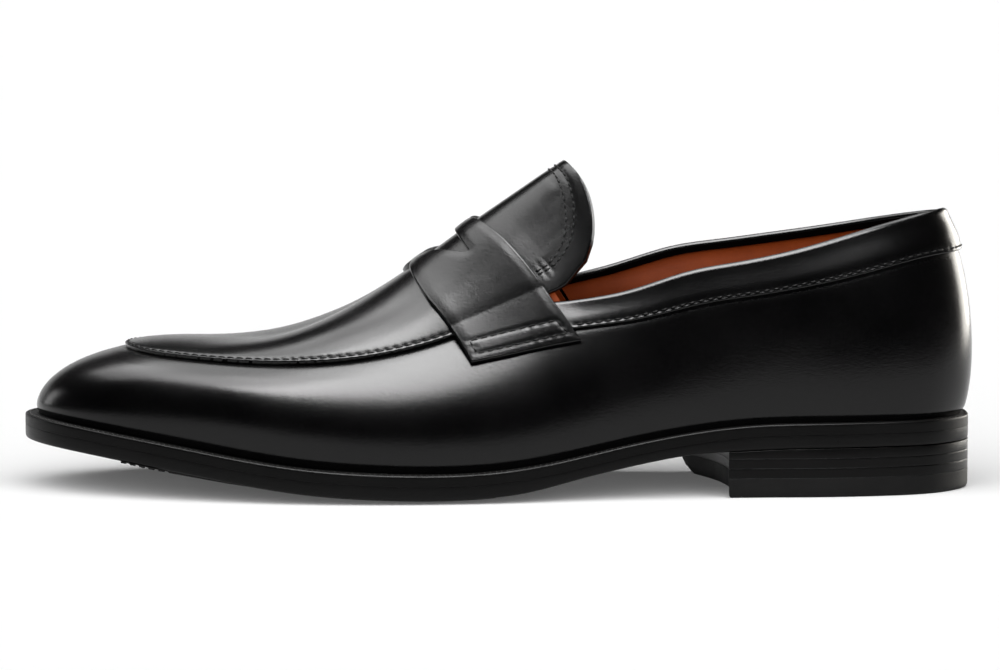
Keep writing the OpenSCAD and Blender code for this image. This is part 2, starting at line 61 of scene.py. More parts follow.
class EvenCurve:
    """Smooth curve through evenly spaced rows of numbers, closed or open."""

    REACH = 9

    def __init__(self, rows: Sequence, closed: bool = False, start: float = 0.0, step: float = 1.0) -> None:
        """Work out the control values of a cubic B-spline that meets every row.

        Args:
            rows: one number or one tuple of numbers for each place.
            closed: whether the last row is followed by the first.
            start: the place of the first row.
            step: the distance between rows.
        """
        values = np.asarray(rows, float)
        self.flat = values.ndim == 1
        values = values[:, None] if self.flat else values
        self.closed, self.start, self.step = closed, start, step
        self.count = len(values)
        span = np.arange(-self.REACH, self.REACH + 1)
        weights = math.sqrt(3) * (math.sqrt(3) - 2) ** np.abs(span)
        places = np.arange(self.count) if closed else np.arange(-1, self.count + 1)
        self.controls = sum(w * self._row(values, places + k) for w, k in zip(weights, span))

    def _row(self, values: Array, index: Array) -> Array:
        """Rows at any index: wrapped round a closed list, mirrored through the ends of an open one.

        Args:
            values: the rows that are given.
            index: row numbers, which may lie past either end.

        Returns:
            One row for each number.
        """
        if self.closed:
            return values[index % self.count]
        last = self.count - 1
        inside = values[np.clip(index, 0, last)]
        below = 2 * values[0] - values[np.clip(-index, 0, last)]
        above = 2 * values[last] - values[np.clip(2 * last - index, 0, last)]
        return np.where((index < 0)[:, None], below, np.where((index > last)[:, None], above, inside))

    def __call__(self, place: Number) -> Array:
        """Value of the curve at one or many places.

        Args:
            place: one place or an array of them.

        Returns:
            Values with the shape of the places, and a last axis if the rows are tuples.
        """
        u = (np.asarray(place, float) - self.start) / self.step
        i = np.floor(u).astype(int)
        if not self.closed:
            i = np.clip(i, 0, self.count - 2)
        f = (u - i)[..., None]
        blend = (
            (1 - f) ** 3,
            3 * f**3 - 6 * f**2 + 4,
            -3 * f**3 + 3 * f**2 + 3 * f + 1,
            f**3,
        )
        first = i - 1 if self.closed else i
        total = sum(b / 6 * self.controls[(first + k) % len(self.controls)] for k, b in enumerate(blend))
        return total[..., 0] if self.flat else total


def mix(a: Number, b: Number, f: Number) -> Number:
    """Value part of the way from a to b."""
    return a + (b - a) * f


def ramp(low: float, high: float, value: Number) -> Number:
    """0 below low, 1 above high, a straight line between; falls if low is the larger."""
    return np.clip((np.asarray(value, float) - low) / (high - low), 0.0, 1.0)


def smooth(low: float, high: float, value: Number) -> Number:
    """Like ramp, with soft ends."""
    f = ramp(low, high, value)
    return f * f * (3 - 2 * f)


def bell(distance: Number, width: Number) -> Number:
    """1 on a line, falling softly to 0 over about twice the width on each side."""
    return np.exp(-((distance / width) ** 2))


def mirror_q(q: Number) -> Number:
    """The same station on the other side of the shoe."""
    return ROUND_Q - q


def station(q: Number) -> Number:
    """Distance from the toe along the feather line, the same on both sides."""
    q = np.mod(q, ROUND_Q)
    return np.minimum(q, ROUND_Q - q)


# ---------------------------------------------------------------- the last


@dataclass
class Last:
    """The foot form that the upper is pulled over, with the seam lines drawn on it.

    q runs round the feather line: 0 toe, 16 heel, 32 toe again, lateral side first. t climbs from the
    feather line (0) to the ridge (1). Lengths are millimetres.
    """

    rows: tuple = (
        (-148.5, 3, 3, -113, 1, 12, 19),
        (-144.5, -9.5, 15.5, -112, 1.5, 12.5, 20),
        (-134, -21, 25.5, -108, 2.5, 14.5, 22),
        (-116, -31, 34, -100, 3.5, 19, 25),
        (-94, -38.5, 40.5, -87, 5, 24, 29),
        (-70, -44.5, 45.5, -72, 6, 28, 31),
        (-45, -46.9, 46.5, -57, 6, 31, 27),
        (-20, -46.2, 42.2, -44, 6, 34, 21),
        (5, -43, 34.5, -29, 6, 37, 17),
        (30, -37.5, 28, -8, 6, 38, 15),
        (55, -33.5, 26, 12, 6, 36, 16),
        (80, -31, 27, 38, 6, 33, 18),
        (104, -30, 28.5, 70, 6, 30, 19),
        (127, -26, 25.5, 98, 6.5, 29, 19),
        (140, -19.5, 19, 112, 8, 28, 19),
        (147.5, -9.5, 9, 119, 9.5, 28, 21),
        (149, 0, 0, 121, 9.5, 28, 22),
    )
    ridge_rows: tuple = (
        (3, 42.2), (3, 45.7), (3, 45.7), (3.5, 46.7), (4, 54.2), (4, 66.4), (3.5, 81.1),
        (3, 95), (2, 106.9), (1, 109.5), (0, 110), (0, 110), (0, 110), (0, 110),
    )
    seat_rows: tuple = (
        23.6, 22.3, 19.9, 16.9, 13.7, 11.1, 9.7, 9.2, 10, 12.8, 17, 20.6, 22.8, 23.4, 23.5, 23.5, 23.5,
    )
    welt_rows: tuple = (3.5, 3.7, 4, 4.3, 4.5, 4.5, 4.5, 4.3, 4, 3.6, 3.2, 3, 2.8, 2.4, 2, 1.8, 1.7)
    apron_rows: tuple = (0.885, 0.86, 0.775, 0.664, 0.612, 0.583, 0.516, 0.485, 0.478, 0.482, 0.487)
    topline_rows: tuple = (
        0.495, 0.448, 0.41, 0.43, 0.476, 0.54, 0.584, 0.604, 0.604, 0.592, 0.574, 0.542,
        0.501, 0.465, 0.455, 0.475, 0.49,
    )
    collar_rows: tuple = (
        0.088, 0.085, 0.076, 0.082, 0.09, 0.105, 0.112, 0.12, 0.119, 0.12, 0.112, 0.105,
        0.09, 0.082, 0.076, 0.085, 0.088,
    )
    topline_first: int = 8
    strap_q: float = 9.1
    tongue_length: float = 1.32
    tongue_round: float = 0.36
    lap: float = 0.07
    slope_step: float = 0.02

    def __post_init__(self) -> None:
        """Turn the lists of given values into smooth curves."""
        loop, welt = [], []
        for i in range(ROUND_Q):
            lateral = i <= HEEL_Q
            r = self.rows[i if lateral else ROUND_Q - i]
            loop.append((r[0], r[1] if lateral else r[2], *r[3:]))
            welt.append(self.welt_rows[i if lateral else ROUND_Q - i])
        self.loop = EvenCurve(loop, closed=True)
        self.welt_reach = EvenCurve(welt, closed=True)
        self.ridge = EvenCurve(self.ridge_rows, start=-130, step=20)
        self.seat_z = EvenCurve(self.seat_rows, start=-160, step=20)
        self.apron_curve = EvenCurve(self.apron_rows)
        self.topline = EvenCurve(self.topline_rows, start=self.topline_first)
        self.collar_drop = EvenCurve(self.collar_rows, start=self.topline_first)

    def plan(self, q: Number, reach: Number = 0.0) -> Array:
        """Point of the feather line moved outwards by reach, in plan.

        Args:
            q: places along the feather line.
            reach: distance outwards, one for all or one for each.

        Returns:
            Array of x, y pairs.
        """
        d = (self.loop(q + self.slope_step) - self.loop(q - self.slope_step))[..., :2]
        way = np.stack([d[..., 1], -d[..., 0]], -1) / np.linalg.norm(d, axis=-1, keepdims=True)
        return self.loop(q)[..., :2] + np.asarray(reach)[..., None] * way

    def meridian(self, q: Array) -> list:
        """Four control points of the curve that climbs from the feather line to the ridge.

        Args:
            q: places along the feather line.

        Returns:
            List of four arrays of x, y, z.
        """
        r = self.loop(q)
        way = self.plan(q, np.ones_like(q)) - r[..., :2]
        z = self.seat_z(r[..., 0])
        top = self.ridge(r[..., 2])
        near = 0.1
        slope = (self.ridge(r[..., 2] + near)[..., 1] - self.ridge(r[..., 2] - near)[..., 1]) / (2 * near)
        reach = r[..., 5]
        return [
            np.stack([r[..., 0], r[..., 1], z], -1),
            np.stack(
                [r[..., 0] + way[..., 0] * r[..., 3], r[..., 1] + way[..., 1] * r[..., 3],
                 z + r[..., 4]], -1),
            np.stack(
                [r[..., 2] + way[..., 0] * reach, top[..., 0] + way[..., 1] * reach,
                 top[..., 1] + slope * way[..., 0] * reach], -1),
            np.stack([r[..., 2], top[..., 0], top[..., 1]], -1),
        ]

    @staticmethod
    def climb(m: list, t: Array) -> Array:
        """Point at height t of a meridian."""
        t = t[..., None]
        return (1 - t) ** 3 * m[0] + 3 * (1 - t) ** 2 * t * m[1] + 3 * (1 - t) * t * t * m[2] + t**3 * m[3]

    @staticmethod
    def rise(m: list, t: Array) -> Array:
        """A third of the meridian's slope at height t."""
        t = t[..., None]
        return (1 - t) ** 2 * (m[1] - m[0]) + 2 * (1 - t) * t * (m[2] - m[1]) + t * t * (m[3] - m[2])

    def point(self, q: Number, t: Number, h: Number) -> Array:
        """Points on the last, raised by h along the surface normal.

        Args:
            q: places along the feather line.
            t: heights between the feather line and the ridge.
            h: heights over the wall's outer face.

        Returns:
            Array of x, y, z, with the arguments' common shape.
        """
        q, t, h = np.broadcast_arrays(np.asarray(q, float), np.asarray(t, float), np.asarray(h, float))
        m = self.meridian(q)
        s = np.minimum(t, 0.998)
        ahead, behind = self.meridian(q + self.slope_step), self.meridian(q - self.slope_step)
        along = self.climb(ahead, s) - self.climb(behind, s)
        up = np.cross(along, self.rise(m, s))
        up /= np.maximum(np.linalg.norm(up, axis=-1, keepdims=True), 1e-12)
        return self.climb(m, t) + h[..., None] * up

    def climb_length(self, q: Array, t: Array) -> Array:
        """Millimetres that one unit of t covers at this place."""
        return 3 * np.linalg.norm(self.rise(self.meridian(q), t), axis=-1)

    def apron_edge(self, q: Number) -> Array:
        """Height of the apron's lower edge."""
        return self.apron_curve(np.minimum(station(q), len(self.apron_rows) - 1))

    def tongue_edge(self, q: Number) -> Array:
        """Height of the apron's edge, which runs on behind the strap as the tongue's.

        Args:
            q: places along the feather line.

        Returns:
            Heights between the feather line and the ridge.
        """
        s = station(q)
        back = np.clip((s - self.strap_q) / self.tongue_length, 0, 1)
        round_end = self.tongue_round * (1 - np.sqrt(1 - back**2))
        return self.apron_edge(np.minimum(s, self.strap_q)) + round_end

    def collar_low(self, q: Number) -> Array:
        """Height of the collar binding's lower edge."""
        return self.topline(q) - self.collar_drop(q)

    def rear_q(self, q: Number) -> Array:
        """q held within the stretch where the topline is drawn."""
        return np.clip(q, self.topline_first, mirror_q(self.topline_first))

    def wall_edge(self, q: Number) -> Array:
        """Height of the wall's upper edge: under the apron in front, the topline behind the strap."""
        front = self.apron_curve(np.minimum(station(q), self.strap_q)) + self.lap
        return mix(front, self.topline(self.rear_q(q)) - 0.004, ramp(8.2, self.strap_q, station(q)))

    def cover_edge(self, q: Number) -> Array:
        """Height where the wall disappears: the apron's edge in front, the binding's behind."""
        front = self.apron_curve(np.minimum(station(q), self.strap_q))
        return mix(front, self.collar_low(self.rear_q(q)), smooth(8.3, 9.0, station(q)))


LAST = Last()


# ---------------------------------------------------------------- meshes


def grid_faces(rows: int, cols: int, ring: bool, fold: bool, keep: Optional[Array]) -> list:
    """Faces of a closed sheet between two grids.

    Args:
        rows: rows of points in each grid.
        cols: columns of points in each grid.
        ring: whether the last row joins the first.
        fold: whether row 0 is folded on itself, so that its halves coincide.
        keep: cells that exist, or None for all.

    Returns:
        List of faces.
    """
    index = np.arange(rows * cols).reshape(rows, cols)
    if fold:
        index[0] = index[0][np.minimum(np.arange(cols), cols - 1 - np.arange(cols))]
    cells = rows if ring else rows - 1
    keep = np.ones((cells, cols - 1), bool) if keep is None else keep
    below = np.roll(index, -1, axis=0)[:cells] if ring else index[1:]
    a, b = index[:cells, :-1], below[:, :-1]
    d, e = index[:cells, 1:], below[:, 1:]
    size = rows * cols
    top = np.stack([a, d, e, b], -1)[keep]
    bottom = np.stack([a, b, e, d], -1)[keep] + size
    faces = [top, bottom]
    padded = np.pad(keep, ((1, 1), (1, 1)))
    if ring:
        padded[0, 1:-1], padded[-1, 1:-1] = keep[-1], keep[0]
    sides = (
        (padded[1:-1, :-2], a, b),
        (padded[1:-1, 2:], e, d),
        (padded[:-2, 1:-1], d, a),
        (padded[2:, 1:-1], b, e),
    )
    for number, (neighbour, first, second) in enumerate(sides):
        open_edge = keep & ~neighbour
        if fold and number == 2:
            open_edge[0] = False
        f, s = first[open_edge], second[open_edge]
        faces.append(np.stack([f, s, s + size, f + size], -1))
    quads = np.concatenate(faces)[:, ::-1]
    whole = [list(dict.fromkeys(quad)) for quad in quads.tolist()]
    return [face for face in whole if len(face) > 2]


def add_object(name: str, points: Array, faces: list, marks: Optional[dict] = None,
               crease: float = 42) -> bpy.types.Object:
    """Make a mesh object from millimetre points.

    Args:
        name: the piece's name.
        points: its points in millimetres.
        faces: its faces as lists of point numbers.
        marks: values per point to store for the materials, by name.
        crease: angle in degrees above which an edge stays sharp.

    Returns:
        The new object, with loose points removed.
    """
    used = np.unique(np.concatenate([np.asarray(f) for f in faces]))
    new_number = np.full(len(points), -1)
    new_number[used] = np.arange(len(used))
    mesh = bpy.data.meshes.new(name)
    mesh.from_pydata((points[used] * MM).tolist(), [], [[int(new_number[i]) for i in f] for f in faces])
    for key, values in (marks or {}).items():
        layer = mesh.attributes.new(key, "FLOAT", "POINT")
        layer.data.foreach_set("value", np.asarray(values, float).ravel()[used].astype(np.float32))
    mesh.validate()
    mesh.shade_smooth()
    mesh.set_sharp_from_angle(angle=math.radians(crease))
    piece = bpy.data.objects.new(name, mesh)
    bpy.context.scene.collection.objects.link(piece)
    return piece


def sheet_object(name: str, outer: Array, inner: Array, ring: bool = False, fold: bool = False,
                 keep: Optional[Array] = None, marks: Optional[dict] = None) -> bpy.types.Object:
    """Closed sheet of leather between two grids of points.

    Args:
        name: the piece's name.
        outer: rows by columns of outer points in millimetres.
        inner: the same for the inner face.
        ring: whether the last row joins the first.
        fold: whether row 0 is folded on itself.
        keep: cells that exist, or None for all.
        marks: values per outer point for the materials; the inner face gets 0.

    Returns:
        The new object.
    """
    rows, cols = outer.shape[:2]
    faces = grid_faces(rows, cols, ring, fold, keep)
    points = np.concatenate([outer.reshape(-1, 3), inner.reshape(-1, 3)])
    both = {k: np.concatenate([np.ravel(v), np.zeros(rows * cols)]) for k, v in (marks or {}).items()}
    return add_object(name, points, faces, both)


def round_over(distance: Array, radius: float) -> Array:
    """How far a rounded cut edge falls below the face, at a distance in from the edge."""
    d = np.clip(distance, 0, radius)
    return radius - np.sqrt(np.maximum(radius**2 - (radius - d) ** 2, 0))


def place(piece: bpy.types.Object, finish: "Finish", slot: str, nodes: Sequence[str]) -> None:
    """Dress a piece, ride it on the shoe and hide the CAD nodes it stands for.

    Args:
        piece: the new object.
        finish: what it is dressed in.
        slot: the record's material slot; not used.
        nodes: CAD nodes that it replaces.
    """
    piece.data.materials.clear()
    piece.data.materials.append(finish.material())
    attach(piece, "root")
    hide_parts(*nodes)
    log.info("%s: %d faces", piece.name, len(piece.data.polygons))


# ---------------------------------------------------------------- shader helper


class Socket:
    """An output socket that can be used in Python arithmetic; each step adds a Math node."""

    def __init__(self, graph: "Graph", link: bpy.types.NodeSocket) -> None:
        """Wrap one output socket of a graph."""
        self.graph, self.link = graph, link

    def _math(self, operation: str, first: object, second: object) -> "Socket":
        """Add a Math node for a two-sided operation."""
        return self.graph.node("ShaderNodeMath", {"operation": operation}, {0: first, 1: second})

    def __add__(self, other: object) -> "Socket":
        """self + other."""
        return self._math("ADD", self, other)

    def __radd__(self, other: object) -> "Socket":
        """other + self."""
        return self._math("ADD", other, self)

    def __sub__(self, other: object) -> "Socket":
        """self - other."""
        return self._math("SUBTRACT", self, other)

    def __rsub__(self, other: object) -> "Socket":
        """other - self."""
        return self._math("SUBTRACT", other, self)

    def __mul__(self, other: object) -> "Socket":
        """self * other."""
        return self._math("MULTIPLY", self, other)

    def __rmul__(self, other: object) -> "Socket":
        """other * self."""
        return self._math("MULTIPLY", other, self)


class Graph:
    """Node tree of one material with a Principled surface."""

    def __init__(self, name: str) -> None:
        """Make the material and its surface node.

        Args:
            name: the material's name.
        """
        self.material = bpy.data.materials.new(name)
        self.material.use_nodes = True
        self.tree = self.material.node_tree
        self.tree.nodes.clear()
        self.surface = self.tree.nodes.new("ShaderNodeBsdfPrincipled")
        output = self.tree.nodes.new("ShaderNodeOutputMaterial")
        self.tree.links.new(self.surface.outputs[0], output.inputs["Surface"])

    def connect(self, socket: bpy.types.NodeSocket, value: object) -> None:
        """Link a wrapped socket, or set a plain value.

        Args:
            socket: the input to feed.
            value: a Socket, a number, a tuple or None to leave it.
        """
        if isinstance(value, Socket):
            self.tree.links.new(value.link, socket)
        elif value is not None:
            socket.default_value = value

    def node(self, kind: str, settings: Optional[dict] = None, inputs: Optional[dict] = None,
             output: Union[int, str] = 0) -> Socket:
        """Add a node.

        Args:
            kind: the node's type name.
            settings: its properties, which are set first.
            inputs: values or links of its sockets, by name or number.
            output: the output socket to return.

        Returns:
            The wrapped output socket.
        """
        new = self.tree.nodes.new(kind)
        for key, value in (settings or {}).items():
            setattr(new, key, value)
        for key, value in (inputs or {}).items():
            self.connect(new.inputs[key], value)
        return Socket(self, new.outputs[output])

    def place_in(self, scale: Sequence[float] = (1, 1, 1)) -> Socket:
        """Object coordinates, stretched along the axes."""
        spot = self.node("ShaderNodeTexCoord", output="Object")
        return self.node("ShaderNodeMapping", {}, {"Vector": spot, "Scale": tuple(scale)})

    def noise(self, per_metre: float, detail: float = 3.0, roughness: float = 0.5,
              spot: Optional[Socket] = None) -> Socket:
        """Soft noise from 0 to 1.

        Args:
            per_metre: one over the size of its features, in metres.
            detail: how many finer layers are added.
            roughness: how strong those are.
            spot: where it is looked up, or None for the object's coordinates.

        Returns:
            The wrapped value.
        """
        vector = spot or self.place_in()
        inputs = {"Vector": vector, "Scale": per_metre, "Detail": detail, "Roughness": roughness}
        return self.node("ShaderNodeTexNoise", {}, inputs)

    def cells(self, per_metre: float, spot: Optional[Socket] = None) -> Socket:
        """Distance from the nearest cell of a Voronoi pattern."""
        inputs = {"Vector": spot or self.place_in(), "Scale": per_metre}
        return self.node("ShaderNodeTexVoronoi", {"feature": "F1"}, inputs, "Distance")

    def mark(self, name: str) -> Socket:
        """A value stored on the mesh's points."""
        return self.node("ShaderNodeAttribute", {"attribute_name": name}, output="Fac")

    def colours(self, amount: object, first: Sequence[float], second: Sequence[float]) -> Socket:
        """Blend of two colours.

        Args:
            amount: 0 for the first, 1 for the second.
            first: red, green, blue.
            second: red, green, blue.

        Returns:
            The wrapped colour.
        """
        return self.node(
            "ShaderNodeMix", {"data_type": "RGBA"}, {0: amount, 6: (*first, 1), 7: (*second, 1)}, 2
        )

    def between(self, value: Socket, low: float, high: float, start: float = 0.0, end: float = 1.0) -> Socket:
        """Value carried from the range low..high to start..end, held at the ends."""
        return self.node("ShaderNodeMapRange", {}, {0: value, 1: low, 2: high, 3: start, 4: end})

    def relief(self, height: Socket, depth_mm: float, strength: float = 1.0,
               under: Optional[Socket] = None) -> Socket:
        """Bump of a real depth in millimetres, laid over another if one is given."""
        inputs = {"Strength": strength, "Distance": depth_mm * MM, "Height": height, "Normal": under}
        return self.node("ShaderNodeBump", {}, inputs)

    def finish(self, **inputs: object) -> bpy.types.Material:
        """Feed the surface, with spaces in socket names written as underscores.

        Args:
            inputs: a Socket or a plain value for each named socket.

        Returns:
            The material.
        """
        for key, value in inputs.items():
            if isinstance(value, tuple) and len(value) == 3:
                value = (*value, 1)
            self.connect(self.surface.inputs[key.replace("_", " ")], value)
        return self.material


# ---------------------------------------------------------------- finishes


class Finish:
    """A surface that pieces are dressed in. Its material is made once."""

    made: dict = {}

    def build(self) -> bpy.types.Material:
        """Make the material, which each finish does in its own way."""
        raise NotImplementedError

    def material(self) -> bpy.types.Material:
        """The material, made on first use.

        Returns:
            The finish's only material.
        """
        if self not in Finish.made:
            Finish.made[self] = self.build()
        return Finish.made[self]


@dataclass(frozen=True)
class BoxCalf(Finish):
    """Smooth black calf: fine creased grain, a soft polish, burnished where it is thin."""

    name: str = "box_calf"
    black: tuple = (0.0004, 0.0004, 0.0005)
    worn: tuple = (0.0014, 0.0013, 0.0014)
    polish: float = 0.23
    grain_per_metre: float = 1300.0
    grain_mm: float = 0.034
    crease_per_metre: float = 210.0
    crease_mm: float = 0.035

    def build(self) -> bpy.types.Material:
        """Make the material.

        Returns:
            The new material.
        """
        g = Graph(self.name)
        grain = g.noise(self.grain_per_metre, 3, 0.6)
        pores = g.cells(self.grain_per_metre * 1.7)
        cloud = g.noise(45, 3, 0.5)
        edge = g.mark("rim")
        seam = g.mark("seam")
        skin = g.relief(g.noise(self.crease_per_metre, 2, 0.5), self.crease_mm, 0.5)
        skin = g.relief(grain + pores * 0.3, self.grain_mm, 0.9, skin)
        tone = g.between(cloud, 0.35, 0.7, 0.0, 0.55) + edge * 0.35
        rough = self.polish + (cloud - 0.5) * 0.1 + (grain - 0.5) * 0.12 + seam * 0.07 - edge * 0.05
        return g.finish(
            Base_Color=g.colours(tone, self.black, self.worn), Roughness=rough, Normal=skin,
            Specular_IOR_Level=0.27,
        )


@dataclass(frozen=True)
class LiningCalf(Finish):
    """Red-brown lining leather, matte, a little lighter in random clouds."""

    name: str = "lining_calf"
    dark: tuple = (0.16, 0.025, 0.003)
    light: tuple = (0.24, 0.041, 0.005)
    dull: float = 0.6

    def build(self) -> bpy.types.Material:
        """Make the material.

        Returns:
            The new material.
        """
        g = Graph(self.name)
        cloud = g.noise(70, 4, 0.6)
        speck = g.noise(2600, 2, 0.6)
        grain = g.cells(1300)
        skin = g.relief(grain * 0.6 + speck * 0.5, 0.03, 0.7)
        tone = g.between(cloud * 0.75 + speck * 0.25, 0.3, 0.72)
        return g.finish(
            Base_Color=g.colours(tone, self.dark, self.light), Roughness=self.dull + (cloud - 0.5) * 0.2,
            Normal=skin, Specular_IOR_Level=0.12,
        )


@dataclass(frozen=True)
class WaxedEdge(Finish):
    """Black-dyed sole leather with a waxed, burnished edge and a buffed face."""

    name: str = "waxed_edge"
    black: tuple = (0.0005, 0.0005, 0.0005)
    bare: tuple = (0.0018, 0.0017, 0.0017)
    edge_polish: float = 0.34
    face_dull: float = 0.58
    sheen: float = 0.14

    def build(self) -> bpy.types.Material:
        """Make the material.

        Returns:
            The new material.
        """
        g = Graph(self.name)
        layers = g.noise(260, 4, 0.6, g.place_in((1, 1, 14)))
        fibres = g.noise(1800, 3, 0.65)
        cloud = g.noise(55, 3, 0.5)
        rim = g.mark("rim")
        skin = g.relief(layers, 0.07, 0.5)
        skin = g.relief(fibres, 0.03, 0.5, skin)
        tone = g.between(layers * 0.5 + cloud * 0.5, 0.35, 0.72)
        rough = rim * self.edge_polish + (1 - rim) * self.face_dull
        rough = rough + (layers - 0.5) * 0.25 + (cloud - 0.5) * 0.12
        return g.finish(
            Base_Color=g.colours(tone, self.black, self.bare), Roughness=rough, Normal=skin,
            Specular_IOR_Level=self.sheen,
        )


@dataclass(frozen=True)
class Rubber(Finish):
    """Matte black rubber with a fine moulded texture and grey scuffs."""

    name: str = "rubber"
    black: tuple = (0.0012, 0.0012, 0.0012)
    scuff: tuple = (0.0036, 0.0035, 0.0034)
    dull: float = 0.62

    def build(self) -> bpy.types.Material:
        """Make the material.

        Returns:
            The new material.
        """
        g = Graph(self.name)
        pits = g.cells(1900)
        cloud = g.noise(90, 4, 0.65)
        streak = g.noise(700, 3, 0.6, g.place_in((0.15, 1, 1)))
        skin = g.relief(pits * 0.6 + streak * 0.4, 0.05, 0.6)
        tone = g.between(cloud * 0.7 + streak * 0.3, 0.42, 0.8)
        return g.finish(
            Base_Color=g.colours(tone, self.black, self.scuff), Roughness=self.dull + (cloud - 0.5) * 0.25,
            Normal=skin, Specular_IOR_Level=0.2,
        )


@dataclass(frozen=True)
class WaxedThread(Finish):
    """Waxed linen thread: two twisted strands with a low sheen."""

    name: str = "thread"
    dark: tuple = (0.0008, 0.0008, 0.0008)
    light: tuple = (0.003, 0.0029, 0.0028)
    dull: float = 0.55

    def build(self) -> bpy.types.Material:
        """Make the material.

        Returns:
            The new material.
        """
        g = Graph(self.name)
        fibre = g.noise(5200, 3, 0.6)
        cloud = g.noise(240, 2, 0.5)
        tone = g.between(fibre * 0.6 + cloud * 0.4, 0.3, 0.7)
        return g.finish(
            Base_Color=g.colours(tone, self.dark, self.light), Roughness=self.dull + (fibre - 0.5) * 0.3,
            Normal=g.relief(fibre, 0.03, 0.6), Specular_IOR_Level=0.15,
        )


@dataclass(frozen=True)
class Core(Finish):
    """Plain material of a piece that is closed in by others: cork, board, foam, steel or brass."""

    name: str
    dark: tuple
    light: tuple
    grain_per_metre: float
    grain_mm: float = 0.1
    dull: float = 0.8
    metal: float = 0.0
    along: tuple = (1.0, 1.0, 1.0)

    def build(self) -> bpy.types.Material:
        """Make the material.

        Returns:
            The new material.
        """
        g = Graph(self.name)
        spot = g.place_in(self.along)
        bits = g.cells(self.grain_per_metre, spot)
        cloud = g.noise(self.grain_per_metre * 0.4, 4, 0.6, spot)
        tone = g.between(bits * 0.5 + cloud * 0.6, 0.25, 0.8)
        return g.finish(
            Base_Color=g.colours(tone, self.dark, self.light), Roughness=self.dull + (cloud - 0.5) * 0.2,
            Metallic=self.metal, Normal=g.relief(bits, self.grain_mm, 0.5),
        )


CALF = BoxCalf()
LINING = LiningCalf()
SOCK = LiningCalf("sock_calf", (0.13, 0.025, 0.009), (0.21, 0.045, 0.017), 0.55)
EDGE = WaxedEdge()
WELT_LEATHER = WaxedEdge(
    "welt_leather", (0.0005, 0.0005, 0.0005), (0.0016, 0.0015, 0.0015), 0.4, 0.6, 0.12
)
RUBBER = Rubber()
BLACK_THREAD = WaxedThread()
WELT_LINEN = WaxedThread("welt_linen", (0.008, 0.0078, 0.0075), (0.035, 0.034, 0.032), 0.5)


# ---------------------------------------------------------------- lines on the shoe


class Line:
    """A dense run of points on the shoe, such as a cut edge or a row of stitches."""

    def __init__(self, points: Array, normals: Array) -> None:
        """Keep the points and measure along them.

        Args:
            points: places in millimetres.
            normals: the surface normal at each.
        """
        self.points, self.normals = points, normals
        steps = np.linalg.norm(np.diff(points, axis=0), axis=1)
        self.arc = np.concatenate([[0], np.cumsum(steps)])
        self.length = float(self.arc[-1])

    @classmethod
    def on_last(cls, q: Array, t: Array, h: Number) -> "Line":
        """Line through places on the last."""
        foot = LAST.point(q, t, h)
        return cls(foot, LAST.point(q, t, np.asarray(h) + 1.0) - foot)

    def at(self, arc: Array) -> tuple:
        """Points and normals at distances along the line.

        Args:
            arc: distances in millimetres.

        Returns:
            Arrays of places and of unit normals.
        """
        place = np.stack([np.interp(arc, self.arc, self.points[:, k]) for k in range(3)], -1)
        up = np.stack([np.interp(arc, self.arc, self.normals[:, k]) for k in range(3)], -1)
        return place, up / np.linalg.norm(up, axis=-1, keepdims=True)

    def near(self, points: Array, reach: float) -> tuple:
        """Distance to the line and place along it, for each of many points.

        Args:
            points: array of points whose last axis is x, y, z.
            reach: distance beyond which a point only needs to count as far.

        Returns:
            Arrays of distance and of arc length, with the points' leading shape.
        """
        flat = points.reshape(-1, 3)
        distance = np.full(len(flat), reach * 10.0)
        arc = np.zeros(len(flat))
        low, high = self.points.min(0) - reach, self.points.max(0) + reach
        close = np.flatnonzero(((flat >= low) & (flat <= high)).all(1))
        for part in np.array_split(close, max(1, len(close) // 2000)):
            if not len(part):
                continue
            gap = np.linalg.norm(flat[part, None] - self.points[None], axis=2)
            best = gap.argmin(1)
            distance[part], arc[part] = gap[np.arange(len(part)), best], self.arc[best]
        shape = points.shape[:-1]
        return distance.reshape(shape), arc.reshape(shape)


